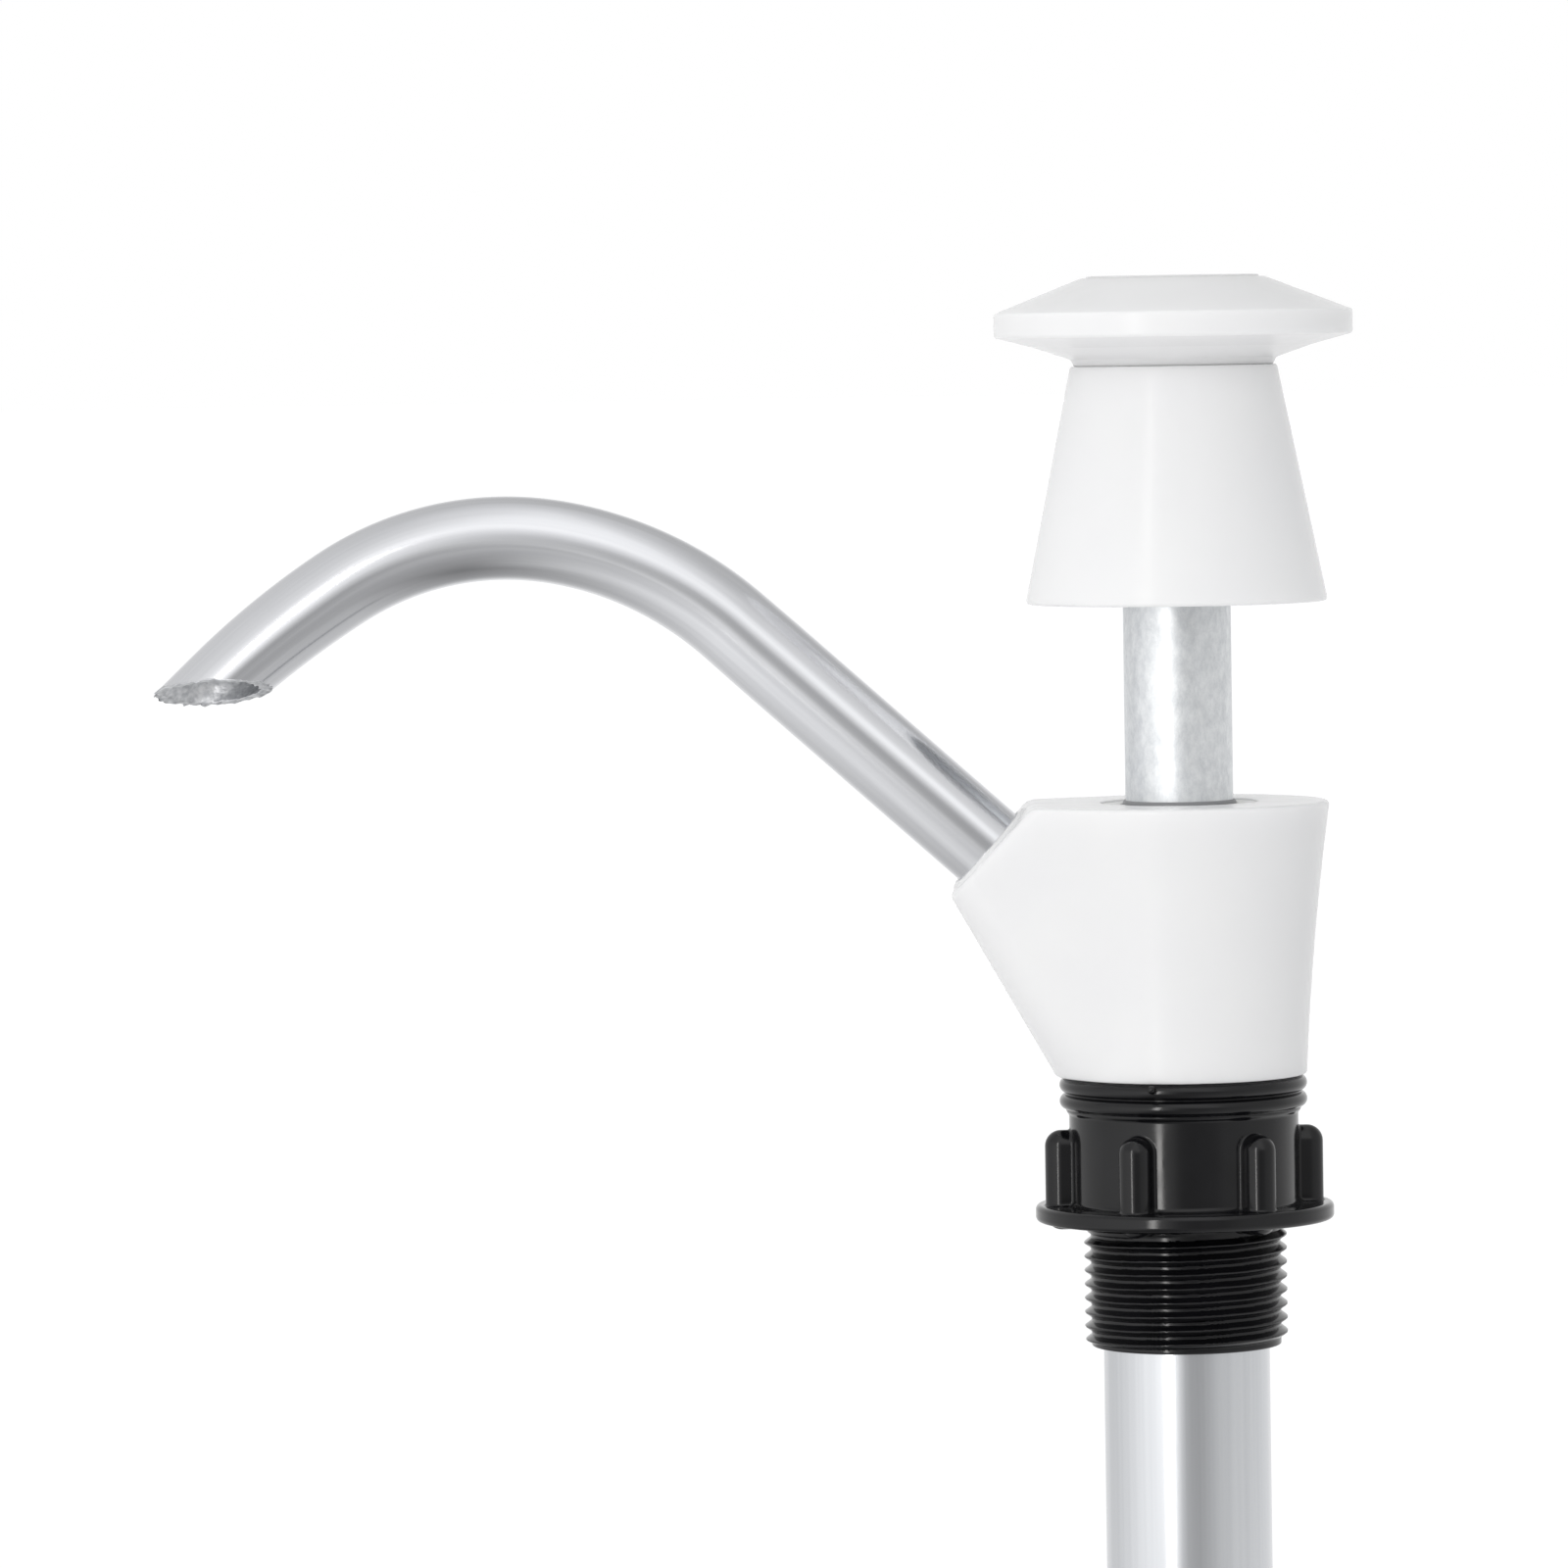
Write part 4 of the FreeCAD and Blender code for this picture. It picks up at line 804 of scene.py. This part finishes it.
def polished_aluminium():
    finish = Finish("polished_aluminium", srgb(229, 230, 233), metal=1.0, gloss=0.22, attribute="run")
    finish.vary_gloss(finish.noise(500, (1, 1, 0.03), detail=4), 0.13, 0.21)
    finish.vary_colour(finish.noise(900, (1, 1, 0.02), detail=3), srgb(214, 215, 219), high=0.7)
    finish.raise_by(finish.noise(700, (1, 1, 0.015), detail=2), 0.000002)
    finish.raise_by(finish.noise(60, (1, 1, 0.4), detail=1), 0.00009)
    return finish.material


def sawn_aluminium():
    finish = Finish("sawn_aluminium", srgb(240, 241, 243), metal=1.0, gloss=0.5)
    finish.vary_gloss(finish.noise(900, detail=4), 0.4, 0.65)
    finish.vary_colour(finish.noise(1200, detail=3), srgb(190, 192, 196), high=0.9)
    finish.raise_by(finish.noise(1600, detail=4), 0.00008)
    return finish.material


def mill_aluminium():
    finish = Finish("mill_aluminium", srgb(247, 249, 250), metal=1.0, gloss=0.4)
    finish.vary_gloss(finish.noise(420, (1, 1, 0.5), detail=5), 0.38, 0.56)
    finish.vary_colour(finish.noise(900, (1, 1, 0.6), detail=6, roughness=0.75), srgb(217, 220, 223))
    finish.raise_by(finish.noise(900, (1, 1, 0.6), detail=4, roughness=0.7), 0.000028)
    return finish.material


def satin_aluminium():
    finish = Finish("satin_aluminium", srgb(224, 226, 229), metal=1.0, gloss=0.24)
    finish.vary_gloss(finish.noise(800, (1, 1, 0.01), detail=4), 0.19, 0.265)
    finish.vary_colour(finish.noise(1300, (1, 1, 0.008), detail=3), srgb(212, 214, 218), high=0.6)
    finish.raise_by(finish.noise(900, (1, 1, 0.006), detail=2), 0.000002)
    return finish.material


def rubber():
    finish = Finish("rubber", srgb(24, 24, 25), metal=0.0, gloss=0.6)
    finish.vary_gloss(finish.noise(900, detail=3), 0.5, 0.72)
    finish.raise_by(finish.noise(1800, detail=3), 0.00001)
    return finish.material


# A mid grey, darker than the rod, for the ring that darkens the rod's foot.
def ring_grey():
    finish = Finish("ring_grey", srgb(140, 141, 143), metal=0.0, gloss=0.5)
    finish.vary_gloss(finish.noise(900, detail=3), 0.42, 0.6)
    finish.raise_by(finish.noise(1800, detail=3), 0.000006)
    return finish.material


def bearing_plastic():
    finish = Finish("bearing_plastic", srgb(232, 232, 230), metal=0.0, gloss=0.38)
    finish.vary_gloss(finish.noise(500, detail=3), 0.32, 0.46)
    finish.raise_by(finish.noise(1500, detail=2), 0.000006)
    return finish.material


def stainless_steel():
    finish = Finish("stainless_steel", srgb(205, 206, 208), metal=1.0, gloss=0.22)
    finish.vary_gloss(finish.noise(1200, detail=4), 0.16, 0.26)
    finish.raise_by(finish.noise(2500, detail=3), 0.000003)
    return finish.material


FINISHES = {make.__name__: make() for make in (
    white_plastic, black_plastic, polished_aluminium, mill_aluminium, satin_aluminium,
    rubber, bearing_plastic, stainless_steel)}


def paint(piece, *materials):
    """Give a piece these materials, and keep which of its faces has which."""
    slots = piece.data.materials
    indices = [polygon.material_index for polygon in piece.data.polygons]
    slots.clear()
    for material in materials:
        slots.append(material)
    piece.data.polygons.foreach_set("material_index",
                                    [min(i, len(materials) - 1) for i in indices])


def build():
    points, quads, normals = meshed(collar_field, *COLLAR_BOX, COLLAR_STEP)
    collar = make_object("collar", points, quads, "collar",
                         ["threaded_collar"], normals)
    paint(collar, FINISHES["black_plastic"])

    points, quads, normals = meshed(head_field, *HEAD_BOX, HEAD_STEP)
    head = make_object("head_and_branch", points, quads, "head",
                       ["pump_head"], normals)
    paint(head, FINISHES["white_plastic"])

    for piece in make_knob():
        paint(piece, FINISHES["white_plastic"])
    paint(make_foot(), FINISHES["black_plastic"])
    # The grey ring hugs the rod at the top of the head and darkens the rod's foot.
    paint(make_grey_ring(), ring_grey())
    paint(make_spout(), FINISHES["polished_aluminium"], sawn_aluminium())


build()

for part in frame["record"]["subparts"]:
    paint(frame["nodes"][part["node"]], FINISHES[part["material_slot"]])


# Stage, light and camera

FLOOR_LEVEL = cad_box[0][2]
FLOOR_HALF_SIZE = 30.0
FLOOR_COLOUR = (0.9, 0.9, 0.905, 1)
FLOOR_GLOW = 0.32
WHITE = (1, 1, 1, 1)

# Greys of the reflection cards: a row for each elevation, a column for each azimuth, in degrees.
# Azimuth 0 is the camera's side, and left is negative.
CARD_AZIMUTHS = (-180, -130, -90, -60, -35, -18, -6, 4, 28, 38, 65, 95, 130, 180)
CARD_GREYS = {
    90: (0.95,) * len(CARD_AZIMUTHS),
    60: (0.55, 0.65, 0.75, 0.8, 0.95, 1.1, 1.15, 1.15, 1.1, 0.9, 0.7, 0.6, 0.55, 0.55),
    35: (0.55, 0.7, 0.78, 0.8, 0.95, 1.12, 1.15, 1.15, 1.05, 0.8, 0.68, 0.55, 0.55, 0.55),
    22: (0.8, 0.75, 0.8, 0.95, 0.95, 0.85, 0.85, 0.92, 1.2, 0.75, 0.68, 0.6, 0.75, 0.8),
    8: (1.0, 0.7, 0.85, 1.1, 1.2, 1.05, 0.55, 0.42, 0.5, 0.62, 0.66, 0.68, 0.8, 1.0),
    -8: (1.0, 0.7, 0.85, 1.1, 1.2, 1.0, 0.42, 0.35, 0.42, 0.58, 0.66, 0.68, 0.8, 1.0),
    -25: (0.9, 0.75, 0.95, 1.07, 1.07, 0.75, 0.55, 0.5, 0.48, 0.6, 0.74, 0.82, 0.9, 0.9),
    -45: (0.42, 0.7, 0.9, 0.96, 0.9, 0.6, 0.4, 0.38, 0.46, 0.62, 0.84, 0.95, 0.85, 0.42),
    -90: (0.2,) * len(CARD_AZIMUTHS),
}
CARD_TURNS = np.radians(np.arange(-180, 181, 3))
ROOM_CENTRE = (0.0, 0.0, 0.03)
WALL_R = 0.75
WALL_RISES = np.radians([-13, *range(-9, 91, 3)])
LOW_CARD_X = -0.03
LOW_CARD_HEIGHT = FLOOR_LEVEL + 0.002
LOW_CARD_RADII = np.concatenate([[0.0], np.geomspace(0.02, 0.735, 24)])
LOW_CARD_EYE = (-0.07, 0.0, 0.06)

# The room is brighter towards one side.
ROOM_COLOUR = (0.99, 0.995, 1.0, 1)
ROOM_BRIGHT_WAY = (-0.87, -0.35, 0.35)
ROOM_DIMMEST, ROOM_BRIGHTEST = 0.59, 0.93

CAMERA_PLACE = Vector((-0.0513, -1.168, 0.117))
CAMERA_AIM = Vector((-0.0513, 0.0, 0.0575))
CAMERA_ROLL = math.radians(0.91)
CAMERA_LENS = 206.8
CAMERA_SENSOR = 36.0


def background_rays(tree):
    """1 for the rays that see the white background: camera, glossy and transmission rays."""
    path = tree.nodes.new("ShaderNodeLightPath")
    value = path.outputs["Is Camera Ray"]
    for kind in ("Is Glossy Ray", "Is Transmission Ray"):
        largest = tree.nodes.new("ShaderNodeMath")
        largest.operation = "MAXIMUM"
        tree.links.new(value, largest.inputs[0])
        tree.links.new(path.outputs[kind], largest.inputs[1])
        value = largest.outputs[0]
    return value


def bare_material(name):
    """A material whose tree holds its output node alone."""
    material = bpy.data.materials.new(name)
    material.use_nodes = True
    material.node_tree.nodes.clear()
    return material, material.node_tree, material.node_tree.nodes.new("ShaderNodeOutputMaterial")


def make_floor():
    material, tree, output = bare_material("pale_floor")
    lit = tree.nodes.new("ShaderNodeBsdfDiffuse")
    lit.inputs["Color"].default_value = FLOOR_COLOUR
    glow = tree.nodes.new("ShaderNodeEmission")
    glow.inputs["Color"].default_value = WHITE
    amount = tree.nodes.new("ShaderNodeMath")
    amount.operation = "MULTIPLY"
    amount.inputs[1].default_value = FLOOR_GLOW
    both = tree.nodes.new("ShaderNodeAddShader")
    tree.links.new(background_rays(tree), amount.inputs[0])
    tree.links.new(amount.outputs[0], glow.inputs["Strength"])
    tree.links.new(lit.outputs[0], both.inputs[0])
    tree.links.new(glow.outputs[0], both.inputs[1])
    tree.links.new(both.outputs[0], output.inputs["Surface"])
    size = FLOOR_HALF_SIZE
    mesh = bpy.data.meshes.new("floor")
    mesh.from_pydata([(-size, -size, FLOOR_LEVEL), (size, -size, FLOOR_LEVEL),
                      (size, size, FLOOR_LEVEL), (-size, size, FLOOR_LEVEL)], [], [(0, 1, 2, 3)])
    mesh.materials.append(material)
    floor = bpy.data.objects.new("floor", mesh)
    bpy.context.scene.collection.objects.link(floor)


def card_grey(points, eye):
    """How bright the cards look from one place in the room, for each of their points."""
    away = points - np.array(eye)
    azimuth = np.degrees(np.arctan2(away[:, 0], -away[:, 1]))
    elevation = np.degrees(np.arctan2(away[:, 2], np.hypot(away[:, 0], away[:, 1])))
    heights = sorted(CARD_GREYS)
    rows = np.array([np.interp(azimuth, CARD_AZIMUTHS, CARD_GREYS[height]) for height in heights])
    place = np.interp(elevation, heights, np.arange(len(heights)))
    low = np.minimum(place.astype(int), len(heights) - 2)
    share = place - low
    index = np.arange(len(points))
    return rows[low, index] * (1 - share) + rows[low + 1, index] * share


def add_card(name, points, rows, columns, eye):
    """A grey reflection card of the studio: metal and gloss show it, and nothing else does."""
    faces = []
    for row in range(rows - 1):
        for column in range(columns - 1):
            first = row * columns + column
            faces.append((first, first + 1, first + columns + 1, first + columns))
    mesh = bpy.data.meshes.new(name)
    mesh.from_pydata(points.tolist(), [], faces)
    grey = mesh.attributes.new("grey", "FLOAT", "POINT")
    grey.data.foreach_set("value", card_grey(points, eye).astype(np.float32))
    material, tree, output = bare_material(name)
    glow = tree.nodes.new("ShaderNodeEmission")
    source = tree.nodes.new("ShaderNodeAttribute")
    source.attribute_name = "grey"
    tree.links.new(source.outputs["Fac"], glow.inputs["Strength"])
    tree.links.new(glow.outputs[0], output.inputs["Surface"])
    material.cycles.emission_sampling = "NONE"
    mesh.materials.append(material)
    card = bpy.data.objects.new(name, mesh)
    bpy.context.scene.collection.objects.link(card)
    card.visible_camera = False
    card.visible_diffuse = False
    card.visible_transmission = False
    card.visible_shadow = False


def make_cards():
    turn, rise = np.meshgrid(CARD_TURNS, WALL_RISES)
    points = np.stack([WALL_R * np.sin(turn) * np.cos(rise), -WALL_R * np.cos(turn) * np.cos(rise),
                       ROOM_CENTRE[2] + WALL_R * np.sin(rise)], -1)
    add_card("wall_card", points.reshape(-1, 3), *turn.shape, ROOM_CENTRE)
    reach, turn = np.meshgrid(LOW_CARD_RADII, CARD_TURNS)
    points = np.stack([LOW_CARD_X + reach * np.sin(turn), -reach * np.cos(turn),
                       np.full(turn.shape, LOW_CARD_HEIGHT)], -1)
    add_card("low_card", points.reshape(-1, 3), *turn.shape, LOW_CARD_EYE)


def make_world():
    world = bpy.data.worlds.new("studio")
    bpy.context.scene.world = world
    world.use_nodes = True
    tree = world.node_tree
    tree.nodes.clear()
    output = tree.nodes.new("ShaderNodeOutputWorld")
    place = tree.nodes.new("ShaderNodeTexCoord")
    dot = tree.nodes.new("ShaderNodeVectorMath")
    dot.operation = "DOT_PRODUCT"
    dot.inputs[1].default_value = ROOM_BRIGHT_WAY
    strength = tree.nodes.new("ShaderNodeMapRange")
    strength.inputs["From Min"].default_value = -1.0
    strength.inputs["To Min"].default_value = ROOM_DIMMEST
    strength.inputs["To Max"].default_value = ROOM_BRIGHTEST
    room = tree.nodes.new("ShaderNodeBackground")
    room.inputs["Color"].default_value = ROOM_COLOUR
    white = tree.nodes.new("ShaderNodeBackground")
    white.inputs["Color"].default_value = WHITE
    mix = tree.nodes.new("ShaderNodeMixShader")
    tree.links.new(place.outputs["Generated"], dot.inputs[0])
    tree.links.new(dot.outputs["Value"], strength.inputs["Value"])
    tree.links.new(strength.outputs["Result"], room.inputs["Strength"])
    tree.links.new(background_rays(tree), mix.inputs[0])
    tree.links.new(room.outputs[0], mix.inputs[1])
    tree.links.new(white.outputs[0], mix.inputs[2])
    tree.links.new(mix.outputs[0], output.inputs["Surface"])


def add_lamp(name, azimuth, elevation, distance, width, height, radiance, colour):
    """An area lamp aimed at the pump. Azimuth 0 is the camera's side, and left is negative."""
    turn, rise = math.radians(azimuth), math.radians(elevation)
    away = Vector((math.sin(turn) * math.cos(rise), -math.cos(turn) * math.cos(rise), math.sin(rise)))
    data = bpy.data.lights.new(name, "AREA")
    data.shape = "RECTANGLE"
    data.size, data.size_y = width, height
    data.energy = radiance * math.pi * width * height
    data.color = colour
    lamp = bpy.data.objects.new(name, data)
    lamp.location = Vector(ROOM_CENTRE) + away * distance
    lamp.rotation_euler = away.to_track_quat("Z", "Y").to_euler()
    bpy.context.scene.collection.objects.link(lamp)


def make_lights():
    add_lamp("left_strip", azimuth=-27, elevation=6, distance=0.7, width=0.062, height=0.72,
             radiance=8.6, colour=(1.0, 0.985, 0.965))


def make_camera():
    back = (CAMERA_PLACE - CAMERA_AIM).normalized()
    up = Vector((math.sin(CAMERA_ROLL), 0, math.cos(CAMERA_ROLL)))
    right = up.cross(back).normalized()
    up = back.cross(right)
    turn = Matrix((right, up, back)).transposed()
    data = bpy.data.cameras.new("camera")
    data.sensor_width = CAMERA_SENSOR
    data.lens = CAMERA_LENS
    data.clip_start, data.clip_end = 0.05, 100.0
    camera = bpy.data.objects.new("camera", data)
    camera.matrix_world = Matrix.Translation(CAMERA_PLACE) @ turn.to_4x4()
    bpy.context.scene.collection.objects.link(camera)
    bpy.context.scene.camera = camera


make_floor()
make_cards()
make_world()
make_lights()
make_camera()
bpy.context.scene.view_settings.view_transform = "Standard"
